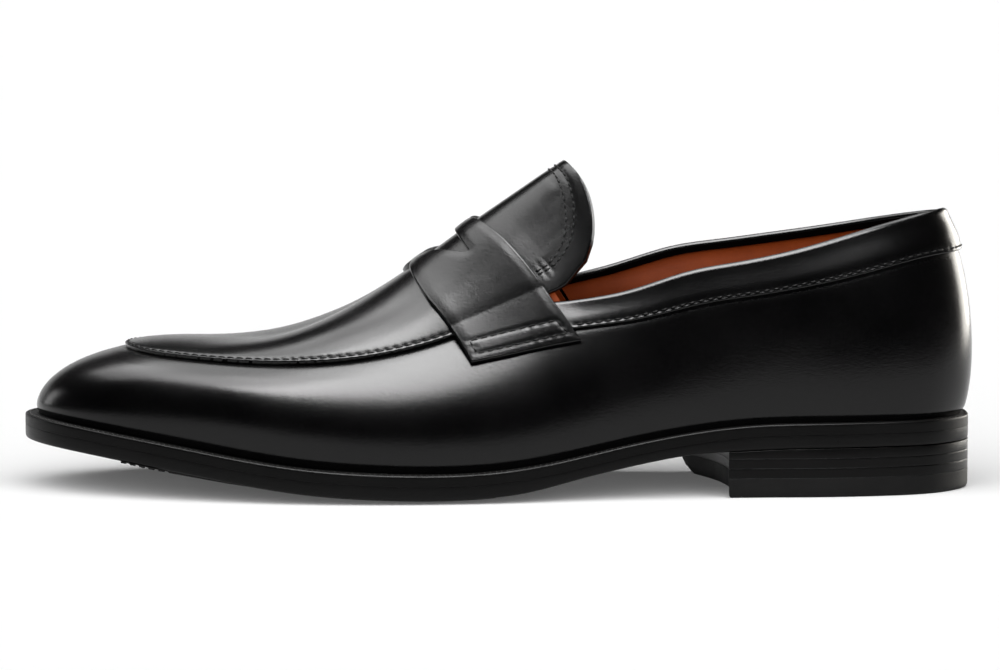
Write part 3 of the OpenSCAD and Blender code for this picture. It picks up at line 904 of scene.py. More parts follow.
@dataclass
class StitchRow:
    """One row of stitches: its line, the thread that lies along it and the dent it pulls."""

    line: Line
    pitch: float = 3.0
    thread: float = 0.5
    fill: float = 0.8
    rise: float = 0.12
    dive: float = 0.42
    dent: float = 0.2
    dent_width: float = 0.75
    strands: int = 2

    def __post_init__(self) -> None:
        """Fit a whole number of stitches to the line."""
        self.count = max(1, round(self.line.length / self.pitch))
        self.pitch = self.line.length / self.count

    def dent_at(self, points: Array) -> tuple:
        """Depth that the seam pulls the leather down, and nearness to the seam, at each point.

        Args:
            points: places in millimetres.

        Returns:
            Arrays of depth in millimetres and of nearness from 0 to 1.
        """
        distance, arc = self.line.near(points, 4 * self.dent_width)
        nearness = bell(distance, self.dent_width)
        pull = 0.72 + 0.28 * np.cos(2 * np.pi * arc / self.pitch)
        return self.dent * nearness * pull, nearness

    def tube(self) -> tuple:
        """Points and faces of all its stitches, each an arched twist of thread.

        Returns:
            Array of points in millimetres, and list of faces.
        """
        along, round_steps = 11, 8
        u = np.linspace(0, 1, along)
        start = (np.arange(self.count) + (1 - self.fill) / 2) * self.pitch
        place, up = self.line.at(start[:, None] + u * self.fill * self.pitch)
        ahead = np.gradient(place, axis=1)
        ahead /= np.linalg.norm(ahead, axis=-1, keepdims=True)
        side = np.cross(up, ahead)
        side /= np.linalg.norm(side, axis=-1, keepdims=True)
        arch = -self.dive + (self.dive + self.rise) * np.sin(np.pi * u) ** 0.55
        centre = place + up * arch[:, None]
        angle = np.linspace(0, 2 * np.pi, round_steps, endpoint=False)
        twist = 1 + 0.16 * np.cos(self.strands * angle[None, :] - 2 * np.pi * 1.5 * u[:, None])
        radius = self.thread / 2 * twist * (1 - 0.35 * (2 * u[:, None] - 1) ** 4)
        ring = (
            side[:, :, None] * (np.cos(angle) * radius)[None, ..., None]
            + up[:, :, None] * (np.sin(angle) * radius)[None, ..., None]
        )
        points = (centre[:, :, None] + ring).reshape(-1, 3)
        index = np.arange(len(points)).reshape(self.count, along, round_steps)
        after = np.roll(index, -1, axis=2)
        sides = np.stack([index[:, :-1], after[:, :-1], after[:, 1:], index[:, 1:]], -1).reshape(-1, 4)
        caps = index[:, 0, ::-1].tolist() + index[:, -1].tolist()
        return points, sides.tolist() + caps


def thread_object(name: str, rows: Sequence[StitchRow]) -> bpy.types.Object:
    """All the stitches of some rows as one piece.

    Args:
        name: the piece's name.
        rows: the rows of stitches.

    Returns:
        The new object.
    """
    points, faces, shift = [], [], 0
    for row in rows:
        new_points, new_faces = row.tube()
        points.append(new_points)
        faces += [[i + shift for i in face] for face in new_faces]
        shift += len(new_points)
    return add_object(name, np.concatenate(points), faces)


def dented(points: Array, rows: Sequence[StitchRow]) -> tuple:
    """Total dent and nearness of several rows at some points.

    Args:
        points: places in millimetres.
        rows: the rows of stitches.

    Returns:
        Arrays of the deepest dent and the greatest nearness.
    """
    total, seam = np.zeros(points.shape[:-1]), np.zeros(points.shape[:-1])
    for row in rows:
        dent, nearness = row.dent_at(points)
        total, seam = np.maximum(total, dent), np.maximum(seam, nearness)
    return total, seam


def waviness(q: Array, t: Array, depth: float, seed: int) -> Array:
    """Slight unevenness of pulled leather, in millimetres.

    Args:
        q: places along the feather line.
        t: heights between the feather line and the ridge.
        depth: its usual height.
        seed: seed of its random waves.

    Returns:
        Heights with the places' common shape.
    """
    draw = np.random.default_rng(seed)
    total = np.zeros(np.broadcast(q, t).shape)
    for _ in range(7):
        a, b = draw.integers(2, 9), draw.uniform(3, 11)
        p, r = draw.uniform(0, 2 * np.pi, 2)
        total = total + np.sin(2 * np.pi * a * q / ROUND_Q + p + b * 0.4 * t) * np.sin(b * t + r)
    return depth * total / 3


# ---------------------------------------------------------------- upper


@dataclass
class Upper:
    """Everything above the welt: wall, apron with tongue, strap, binding and linings.

    Thicknesses and stitch insets are millimetres. Fronts, slot edges and first places are q; heights,
    turns and tilts are t.
    """

    wall: float = 1.4
    plug: float = 1.4
    strap: float = 1.5
    collar: float = 1.2
    lining: float = 1.1
    stiffener: float = 1.0
    collar_turn: float = 0.015
    strap_low: float = 0.338
    slot_end: float = 0.74
    cut_round: float = 0.45
    burnish: float = 0.5
    wall_slack: float = 0.07
    wall_dip: tuple = (0.1, 0.15)
    wall_dip_width: tuple = (1.5, 1.2)
    feather_tuck: float = 0.75
    feather_width: float = 1.7
    apron_slack: float = 0.05
    strap_crown: float = 0.16
    strap_settled: tuple = (0.5, 0.54)
    collar_crown: float = 0.12
    rim_rise: float = 0.1
    rim_reach: float = 6.0
    skive: float = 0.7
    skive_from: float = 0.085
    skive_to: float = 0.012
    curl: float = 4.5
    plump: float = 2.4
    apron_stitch_in: float = 0.95
    collar_stitch_in: float = 1.15
    counter_height: float = 0.44
    counter_below: float = 0.09
    strap_front: float = 7.8
    strap_tilt: tuple = (0.019, -0.021)
    slot_rear: tuple = (8.66, 8.8)
    slot_front: float = 8.29
    collar_first: float = 8.95
    lining_first: float = 9.25
    seams: dict = field(default_factory=dict)

    def __post_init__(self) -> None:
        """Lay out the rows of stitches."""
        self.under_wall = -self.wall - GAP
        self.apron_h = self.plug + GAP
        self.seams = {
            "apron": [self.apron_seam()],
            "tongue": self.tongue_seams(),
            "strap": self.strap_seams(),
            "collar": [self.collar_seam()],
        }

    # -- rows of stitches

    def apron_seam(self) -> StitchRow:
        """Row that holds the apron to the wall.

        Returns:
            The row of stitches.
        """
        q = np.linspace(-7.9, 7.9, 1400)
        inset = self.apron_stitch_in / LAST.climb_length(q, LAST.apron_edge(q))
        t = LAST.apron_edge(q) + inset
        return StitchRow(Line.on_last(q, t, self.apron_top(q, t)), thread=0.42, rise=-0.04, dent=0.3)

    def collar_seam(self) -> StitchRow:
        """Row that holds the binding to the wall.

        Returns:
            The row of stitches.
        """
        q = np.linspace(9.2, mirror_q(9.2), 1600)
        inset = self.collar_stitch_in / LAST.climb_length(q, LAST.collar_low(q))
        return StitchRow(Line.on_last(q, LAST.collar_low(q) + inset, self.collar + GAP), dent=0.2)

    def tongue_seams(self) -> list:
        """Two rows that follow the tongue's edge.

        Returns:
            List of the two rows.
        """
        rows = []
        for start, rise, length in ((0.545, 0.34, 1.2), (0.556, 0.36, 1.12)):
            v = np.linspace(0, 1, 260)
            q = LAST.strap_q + 0.02 + (length - 0.02) * np.sin(np.pi / 2 * v)
            back = np.clip((q - LAST.strap_q) / length, 0, 1)
            t = start + rise * (1 - np.sqrt(1 - back**2))
            end_t = np.linspace(float(t[-1]), 1, 60)[1:]
            side_q, side_t = np.concatenate([q, np.full(59, q[-1])]), np.concatenate([t, end_t])
            all_q = np.concatenate([side_q, mirror_q(side_q)[::-1][1:]])
            all_t = np.concatenate([side_t, side_t[::-1][1:]])
            line = Line.on_last(all_q, all_t, self.apron_top(all_q, all_t))
            rows.append(StitchRow(line, pitch=2.5, thread=0.55, rise=0.05, dent=0.32))
        return rows

    def strap_seams(self) -> list:
        """Closed box of stitches on each end of the strap.

        Returns:
            List of rows, one for each side of a box.
        """
        corners = ((7.92, 0.427), (7.92, 0.379), (9.06, 0.347), (9.0, 0.392), (7.92, 0.427))
        rows = []
        for far in (False, True):
            for (q0, t0), (q1, t1) in zip(corners, corners[1:]):
                q, t = np.linspace(q0, q1, 120), np.linspace(t0, t1, 120)
                h = self.strap_seat(q, t) + self.strap
                rows.append(StitchRow(Line.on_last(mirror_q(q) if far else q, t, h), dent=0.25))
        return rows

    # -- heights

    def rim_lift(self, q: Array, t: Array) -> Array:
        """How far the apron's rim is pulled up by its seam.

        Args:
            q: places along the feather line.
            t: heights between the feather line and the ridge.

        Returns:
            Heights in millimetres.
        """
        edge = LAST.apron_edge(np.minimum(station(q), LAST.strap_q))
        inset = np.maximum(t - edge, 0) * LAST.climb_length(q, edge)
        return self.rim_rise * np.exp(-inset / self.rim_reach) * smooth(9.6, 9.0, station(q))

    def tongue_curl(self, q: Array, t: Array) -> Array:
        """How far the sides of the tongue curl in behind the strap."""
        back = np.clip((station(q) - LAST.strap_q) / LAST.tongue_length, 0, 1)
        return self.curl * back**1.2 * ((1 - np.minimum(t, 1)) / 0.5) ** 2

    def plumpness(self, q: Array, t: Array) -> Array:
        """How much fuller than the last the apron stands between its seam and the instep's ridge.

        Args:
            q: places along the feather line.
            t: heights between the feather line and the ridge.

        Returns:
            Heights in millimetres.
        """
        s = station(q)
        edge = LAST.apron_edge(np.minimum(s, LAST.strap_q))
        inset = np.clip((t - edge) / (1 - edge), 0, 1)
        lean = 1.6
        greatest = 0.1768  # of inset * (1 - inset) ** lean
        return self.plump * smooth(3.6, 6.2, s) * inset * (1 - inset) ** lean / greatest

    def apron_top(self, q: Array, t: Array) -> Array:
        """Height of the apron's and tongue's outer face."""
        return self.apron_h + self.rim_lift(q, t) + self.plumpness(q, t) - self.tongue_curl(q, t)

    def strap_seat(self, q: Array, t: Array) -> Array:
        """Height of the strap's underside: a slack ramp from its end up over the apron's rim."""
        over = self.apron_top(q, np.maximum(t, self.strap_settled[0])) + GAP
        return mix(GAP, over, smooth(self.strap_low - 0.03, self.strap_settled[1], t) ** 1.1)

    def thinning(self, q: Array, t: Array) -> Array:
        """0 on the body of the upper, 1 at the topline, where every layer is pared thin."""
        top = LAST.topline(LAST.rear_q(q))
        return smooth(top - self.skive_from, top - self.skive_to, t) * smooth(8.8, 9.4, station(q))

    def lining_height(self, q: Array, t: Array) -> Array:
        """Height of the quarter lining's outer face."""
        pared = self.skive * self.thinning(q, t)
        return self.under_wall + pared - self.stiff(q, t) * (self.stiffener + GAP)

    def lining_depth(self, q: Array, t: Array) -> Array:
        """Thickness of the quarter lining."""
        return self.lining * (1 - 0.45 * self.thinning(q, t))

    def stiff(self, q: Array, t: Array) -> Array:
        """1 where the counter or the puff lies between the wall and the lining.

        Args:
            q: places along the feather line.
            t: heights between the feather line and the ridge.

        Returns:
            Values from 0 to 1.
        """
        top = np.minimum(self.counter_height, LAST.topline(LAST.rear_q(q)) - self.counter_below)
        back = ramp(9.7, 10.3, station(q)) * ramp(0.06, 0.01, t - top)
        front = ramp(2.9, 2.4, station(q)) * ramp(0.68, 0.62, t)
        return np.maximum(back, front)

    # -- pieces

    def build_wall(self) -> None:
        """Side wall, toe to heel in one piece."""
        q = np.linspace(0, ROUND_Q, 720, endpoint=False)[:, None]
        cover = LAST.cover_edge(q)
        near_top = np.array([0.8, 1.5, 2.0, 2.4, 2.8, 3.1, 3.4, 3.7, 4.1, 4.6, 5.4, 6.4])[::-1]
        length = LAST.climb_length(q, cover)
        low = (cover - near_top[0] / length) * (np.linspace(0, 1, 40) ** 1.25)[None, :-1]
        top = cover - (near_top - 2.8) / length
        last = mix(top[:, -1:], LAST.wall_edge(q), np.array([0.35, 0.7, 1.0]))
        t = np.concatenate([low, top, np.maximum(last, top[:, -1:] + 0.001)], 1)
        edge = Line.on_last(np.linspace(0, ROUND_Q, 2400), LAST.cover_edge(np.linspace(0, ROUND_Q, 2400)), 0)
        flat = LAST.point(q, t, 0)
        to_edge, _ = edge.near(flat, 6)
        from_feather = t * LAST.climb_length(q, np.minimum(t, 0.1))
        back = smooth(8.3, 9.1, station(q))
        height = (
            waviness(q, t, self.wall_slack, 11)
            - mix(*self.wall_dip, back) * bell(to_edge, mix(*self.wall_dip_width, back))
            - self.feather_tuck * bell(from_feather, self.feather_width)
        )
        marks = {"rim": bell(from_feather, 4) * 0.4, "seam": bell(to_edge, 1.5)}
        inner = -self.wall + self.skive * self.thinning(q, t)
        wall = sheet_object(
            "wall_leather", LAST.point(q, t, height), LAST.point(q, t, inner), ring=True, marks=marks
        )
        place(wall, CALF, "black_calf", ["side_wall"])

    def apron_grid(self, q: Array, offsets: Array, steps: int, low: Callable) -> tuple:
        """Rows over the ridge from edge to edge: places q, t with dense columns along each edge.

        Args:
            q: places along the feather line, as a column.
            offsets: distances in from the edge of the dense columns.
            steps: columns from the last of those to the ridge.
            low: gives the height of the edge at places along the feather line.

        Returns:
            Arrays q and t of the grid.
        """
        edge = low(q)
        length = LAST.climb_length(q, edge)
        near = edge + offsets / length
        far = mix(near[:, -1:], 1.0, np.linspace(0, 1, steps + 1)[1:])
        side = np.concatenate([np.minimum(near, 0.995), far], 1)
        t = np.concatenate([side, side[:, -2::-1]], 1)
        near_q, far_q = np.broadcast_to(q, side.shape), np.broadcast_to(mirror_q(q), side[:, 1:].shape)
        both_q = np.concatenate([near_q, far_q], 1)
        return both_q, t

    def build_apron(self) -> None:
        """Apron that runs on as the tongue, with rolled cut edges and seam dents."""
        tip = LAST.strap_q + LAST.tongue_length
        near_tip = np.array([
            0.6, 0.4, 0.3, 0.22, 0.17, 0.13, 0.1, 0.08, 0.06, 0.045, 0.032, 0.02, 0.012, 0.005, 0,
        ])
        q = np.concatenate([np.linspace(0, LAST.strap_q, 300), LAST.strap_q + 0.05 + np.linspace(0, 0.25, 12),
                            tip - near_tip])[:, None]
        offsets = np.array([*EDGE_COLUMNS, 0.62, 0.8, 0.95, 1.1, 1.3, 1.6, 2.0, 2.6, 3.4, 4.4])
        rows_q, t = self.apron_grid(q, offsets, 26, LAST.tongue_edge)
        side = np.linspace(0, tip, 1500)
        end = np.linspace(float(LAST.tongue_edge(tip)), 1, 80)[1:]
        line_q = np.concatenate([side, np.full(79, tip)])
        line_t = np.concatenate([LAST.tongue_edge(side), end])
        edge = Line.on_last(np.concatenate([line_q, mirror_q(line_q)[::-1]]),
                            np.concatenate([line_t, line_t[::-1]]), 0)
        to_edge, _ = edge.near(LAST.point(rows_q, t, 0), 3)
        top = self.apron_top(rows_q, t)
        flat = LAST.point(rows_q, t, top)
        dent, seam = dented(flat, self.seams["apron"] + self.seams["tongue"])
        slack = waviness(rows_q, t, self.apron_slack, 5)
        height = top + slack - dent - round_over(to_edge, self.cut_round)
        inner = GAP + 0.35 * self.rim_lift(rows_q, t) - self.tongue_curl(rows_q, t)
        marks = {"rim": bell(to_edge, self.burnish), "seam": seam}
        apron = sheet_object("apron_and_tongue", LAST.point(rows_q, t, height), LAST.point(rows_q, t, inner),
                             fold=True, marks=marks)
        place(apron, CALF, "black_calf", ["vamp_plug"])

    def strap_lines(self, t: Array, far: Array) -> tuple:
        """q of the strap's front edge, the slot's two edges and the rear edge at heights t.

        Args:
            t: heights between the feather line and the ridge.
            far: whether each is on the far side.

        Returns:
            Arrays of q: front edge, slot's front, slot's rear, rear edge.
        """
        front = self.strap_front + 0.35 * np.where(far, ramp(0.86, 1, t), ramp(0.62, 1, t) ** 1.2)
        rear_of_slot = mix(*self.slot_rear, ramp(self.slot_end, 1, t))
        opened = ramp(self.slot_end, 1, t) ** np.where(far, 0.45, 0.6)
        front_of_slot = mix(rear_of_slot - 0.012, self.slot_front, opened)
        rear = LAST.strap_q + 0.07 * ramp(0.45, 0.34, t) - 0.05 * ramp(0.7, 1, t)
        return front, front_of_slot, rear_of_slot, rear

    def build_strap(self) -> None:
        """Saddle strap with its winged slot."""
        t_side = np.concatenate([
            self.strap_low + np.array([
                0, 0.0005, 0.0013, 0.0025, 0.004, 0.006, 0.009, 0.013, 0.018, 0.024, 0.03,
            ]),
            np.linspace(0.374, 0.45, 16), np.linspace(0.455, 0.51, 14), np.linspace(0.52, 0.725, 30),
            self.slot_end + np.array([-0.008, -0.004, -0.0015, 0, 0.0015, 0.004, 0.008, 0.014]),
            np.linspace(0.765, 1, 34),
        ])
        t = np.concatenate([t_side, t_side[-2::-1]])[None, :]
        far = np.arange(t.shape[1]) >= len(t_side)
        front, slot_a, slot_b, rear = self.strap_lines(t, far[None])
        close = np.array([0, 0.003, 0.009, 0.018, 0.03, 0.045, 0.07, 0.12])
        zone = np.concatenate([close, np.linspace(0.2, 0.8, 12), 1 - close[::-1]])[:, None]
        inner = np.linspace(0, 1, 7)[1:-1, None]
        q = np.concatenate([mix(front, slot_a, zone), mix(slot_a, slot_b, inner), mix(slot_b, rear, zone)])
        t = t + mix(*self.strap_tilt, ramp(self.strap_front, 9.15, q)) * ramp(0.46, self.strap_low, t)
        q = np.where(far, mirror_q(q), q)
        slot_rows = np.arange(len(zone) - 1, len(zone) + len(inner))
        slot_cols = np.flatnonzero(np.minimum(t[0, :-1], t[0, 1:]) >= self.slot_end - 1e-9)
        keep = np.ones((q.shape[0] - 1, q.shape[1] - 1), bool)
        keep[np.ix_(slot_rows, slot_cols)] = False
        seat = self.strap_seat(q, t)
        flat = LAST.point(q, t, seat + self.strap)
        border = np.concatenate([flat[0], flat[:, -1], flat[-1, ::-1], flat[::-1, 0]])
        first, last = slot_cols[0], slot_cols[-1] + 1
        top_row, low_row = len(zone) - 1, len(zone) + len(inner)
        slot = np.concatenate([flat[top_row, first:last + 1], flat[low_row, first:last + 1][::-1],
                               flat[top_row, first][None]])
        to_edge = np.minimum(*(self.fine(run).near(flat, 3)[0] for run in (border, slot)))
        dent, seam = dented(flat, self.seams["strap"])
        crown = self.strap_crown * smooth(0.3, 3.0, to_edge)
        height = seat + self.strap + crown - dent - round_over(to_edge, self.cut_round)
        marks = {"rim": bell(to_edge, self.burnish), "seam": seam}
        strap = sheet_object(
            "saddle_strap_leather", LAST.point(q, t, height), LAST.point(q, t, seat), keep=keep, marks=marks
        )
        place(strap, CALF, "black_calf", ["saddle_strap"])

    @staticmethod
    def fine(run: Array) -> Line:
        """Line through a run of points, filled in so that no step is long.

        Args:
            run: points in millimetres.

        Returns:
            The line, with normals that aren't used.
        """
        rough = Line(run, np.zeros_like(run) + 1.0)
        arc = np.linspace(0, rough.length, max(8, int(rough.length / 0.12)))
        points = np.stack([np.interp(arc, rough.arc, run[:, k]) for k in range(3)], -1)
        return Line(points, np.ones((len(arc), 3)))

    def build_collar(self) -> None:
        """Binding lapped over the wall, rolled over the topline and turned down inside."""
        first = self.collar_first
        q = np.linspace(first, mirror_q(first), 620)[:, None]
        low, top = LAST.collar_low(q), LAST.topline(q)
        length = LAST.climb_length(q, low)
        offsets = np.array([*EDGE_COLUMNS, 0.65, 0.9, 1.15, 1.4, 1.75, 2.2, 3.0, 4.0])
        climb_t = low + offsets / length
        body = mix(climb_t[:, -1:], top, np.linspace(0, 1, 15)[1:])
        front_t = np.concatenate([climb_t, body], 1)
        angle = np.linspace(0, np.pi, 13)[1:-1]
        down_t = top - self.collar_turn * np.linspace(0, 1, 9)

        def inside(t: Array) -> Array:
            """Height of the face that the turned-down part lies on."""
            return self.lining_height(q, t) - self.lining_depth(q, t) - GAP

        def thick(t: Array) -> Array:
            """Thickness of the binding."""
            return self.collar * (1 - 0.5 * self.thinning(q, t))

        half, middle = (GAP - inside(top)) / 2, (GAP + inside(top)) / 2
        reach = (half + thick(top)) / length
        t_out = np.concatenate([front_t, top + reach * np.sin(angle), down_t], 1)
        t_in = np.concatenate([front_t, top + 0.12 / length * np.sin(angle), down_t], 1)
        flat_cols = front_t.shape[1]
        h_out = np.concatenate([GAP + thick(front_t), middle + (half + thick(top)) * np.cos(angle),
                                inside(down_t) - thick(down_t)], 1)
        h_in = np.concatenate([GAP + 0 * front_t, middle + half * np.cos(angle), inside(down_t)], 1)
        flat = LAST.point(q, t_out, h_out)
        edge_q = np.linspace(first, mirror_q(first), 2600)
        edge = Line.on_last(edge_q, LAST.collar_low(edge_q), GAP + self.collar)
        to_edge, _ = edge.near(flat[:, :flat_cols], 3)
        dent, seam = dented(flat[:, :flat_cols], self.seams["collar"])
        crown = self.collar_crown * smooth(1.5, 4, to_edge)
        h_out[:, :flat_cols] += crown - dent - round_over(to_edge, self.cut_round)
        rim, near = np.zeros(h_out.shape), np.zeros(h_out.shape)
        rim[:, :flat_cols], near[:, :flat_cols] = bell(to_edge, self.burnish), seam
        rim[:, flat_cols:flat_cols + len(angle)] = 0.5
        collar = sheet_object("collar_binding", LAST.point(q, t_out, h_out), LAST.point(q, t_in, h_in),
                              marks={"rim": rim, "seam": near})
        place(collar, CALF, "black_calf", ["collar_band"])

    def build_linings(self) -> None:
        """Quarter, vamp and tongue linings."""
        first = self.lining_first
        q = np.linspace(first, mirror_q(first), 300)[:, None]
        t = (LAST.topline(q) - 0.004) * np.linspace(0, 1, 36)
        face = self.lining_height(q, t)
        back = face - self.lining_depth(q, t)
        quarter = sheet_object("quarter_lining_leather", LAST.point(q, t, face), LAST.point(q, t, back))
        place(quarter, LINING, "lining_leather", ["quarter_lining"])

        q = np.linspace(0, 9.2, 130)[:, None]
        rows_q, t = self.apron_grid(q, np.array([0.0, 0.5]), 40, np.zeros_like)
        over = ramp(0, 0.05, t - LAST.wall_edge(rows_q))
        face = mix(self.under_wall, -GAP, over) - self.stiff(rows_q, t) * (self.stiffener + GAP)
        vamp = sheet_object("vamp_lining_leather", LAST.point(rows_q, t, face),
                            LAST.point(rows_q, t, face - self.lining), fold=True)
        place(vamp, LINING, "lining_leather", ["vamp_lining"])

        q = np.concatenate([np.linspace(first, 10.0, 20), np.linspace(10.02, 10.3, 14)])[:, None]
        offsets = np.array([0.0, 0.1, 0.3, 0.6])
        rows_q, t = self.apron_grid(q, offsets, 20, lambda place_q: LAST.tongue_edge(place_q) + 0.03)
        face = -GAP - self.tongue_curl(rows_q, t)
        tongue = sheet_object("tongue_lining_leather", LAST.point(rows_q, t, face),
                              LAST.point(rows_q, t, face - self.lining))
        place(tongue, LINING, "lining_leather", ["tongue_lining"])

    def build_threads(self) -> None:
        """Every row of stitches on the upper."""
        for name, rows in self.seams.items():
            stitches = thread_object(f"{name}_stitches", rows)
            place(stitches, BLACK_THREAD, "upper_thread", [f"{name}_thread"])

    def build(self) -> None:
        """All the pieces of the upper."""
        self.build_wall()
        self.build_apron()
        self.build_strap()
        self.build_collar()
        self.build_linings()
        self.build_threads()


# ---------------------------------------------------------------- sole and heel


def plate_object(name: str, loops: Array, marks: Optional[dict] = None, across: int = 24) -> bpy.types.Object:
    """Solid whose side is a stack of loops round the shoe, closed above and below across the shoe.

    Args:
        name: the piece's name.
        loops: loops by points by x, y, z, from the upper inner loop down to the lower inner one. Each
            has an even number of points, starts at the toe and goes round by the lateral side.
        marks: values per loop point for the materials; the closing faces take the nearest loop's.
        across: cells from one side to the other in each closing face.

    Returns:
        The new object.
    """
    count, size = loops.shape[:2]
    half = size // 2
    index = np.arange(count * size).reshape(count, size)
    after = np.roll(index, -1, axis=1)
    side = np.stack([index[:-1], index[1:], after[1:], after[:-1]], -1).reshape(-1, 4)
    points, faces = [loops.reshape(-1, 3)], [side]
    extra = {k: [np.asarray(v, float).ravel()] for k, v in (marks or {}).items()}
    total = count * size
    for loop, up in ((0, True), (count - 1, False)):
        near = np.arange(half + 1)
        far = (size - near) % size
        grid = np.zeros((half + 1, across + 1), int)
        grid[:, 0], grid[:, -1] = index[loop][near], index[loop][far]
        grid[0], grid[-1] = index[loop][0], index[loop][half]
        f = np.linspace(0, 1, across + 1)[1:-1]
        a, b = loops[loop][near[1:-1]], loops[loop][far[1:-1]]
        inner = mix(a[:, None], b[:, None], f[None, :, None])
        grid[1:-1, 1:-1] = total + np.arange(inner.shape[0] * inner.shape[1]).reshape(inner.shape[:2])
        total += inner.shape[0] * inner.shape[1]
        points.append(inner.reshape(-1, 3))
        for key, values in extra.items():
            edge = np.asarray(marks[key], float)[loop][near[1:-1]]
            values.append(np.repeat(edge, across - 1))
        cells = np.stack([grid[:-1, :-1], grid[1:, :-1], grid[1:, 1:], grid[:-1, 1:]], -1).reshape(-1, 4)
        faces.append(cells if up else cells[:, ::-1])
    whole = [list(dict.fromkeys(quad)) for quad in np.concatenate(faces).tolist()]
    whole = [face for face in whole if len(face) > 2]
    return add_object(name, np.concatenate(points), whole, {k: np.concatenate(v) for k, v in extra.items()})


def slab_object(name: str, loops: Array, marks: Optional[dict] = None) -> bpy.types.Object:
    """Solid whose side is a stack of loops, with one flat face above and one below.

    Args:
        name: the piece's name.
        loops: loops by points by x, y, z, from the highest down.
        marks: values per point for the materials.

    Returns:
        The new object.
    """
    count, size = loops.shape[:2]
    index = np.arange(count * size).reshape(count, size)
    after = np.roll(index, -1, axis=1)
    side = np.stack([index[:-1], index[1:], after[1:], after[:-1]], -1).reshape(-1, 4).tolist()
    faces = side + [index[0].tolist(), index[-1][::-1].tolist()]
    return add_object(name, loops.reshape(-1, 3), faces, marks)


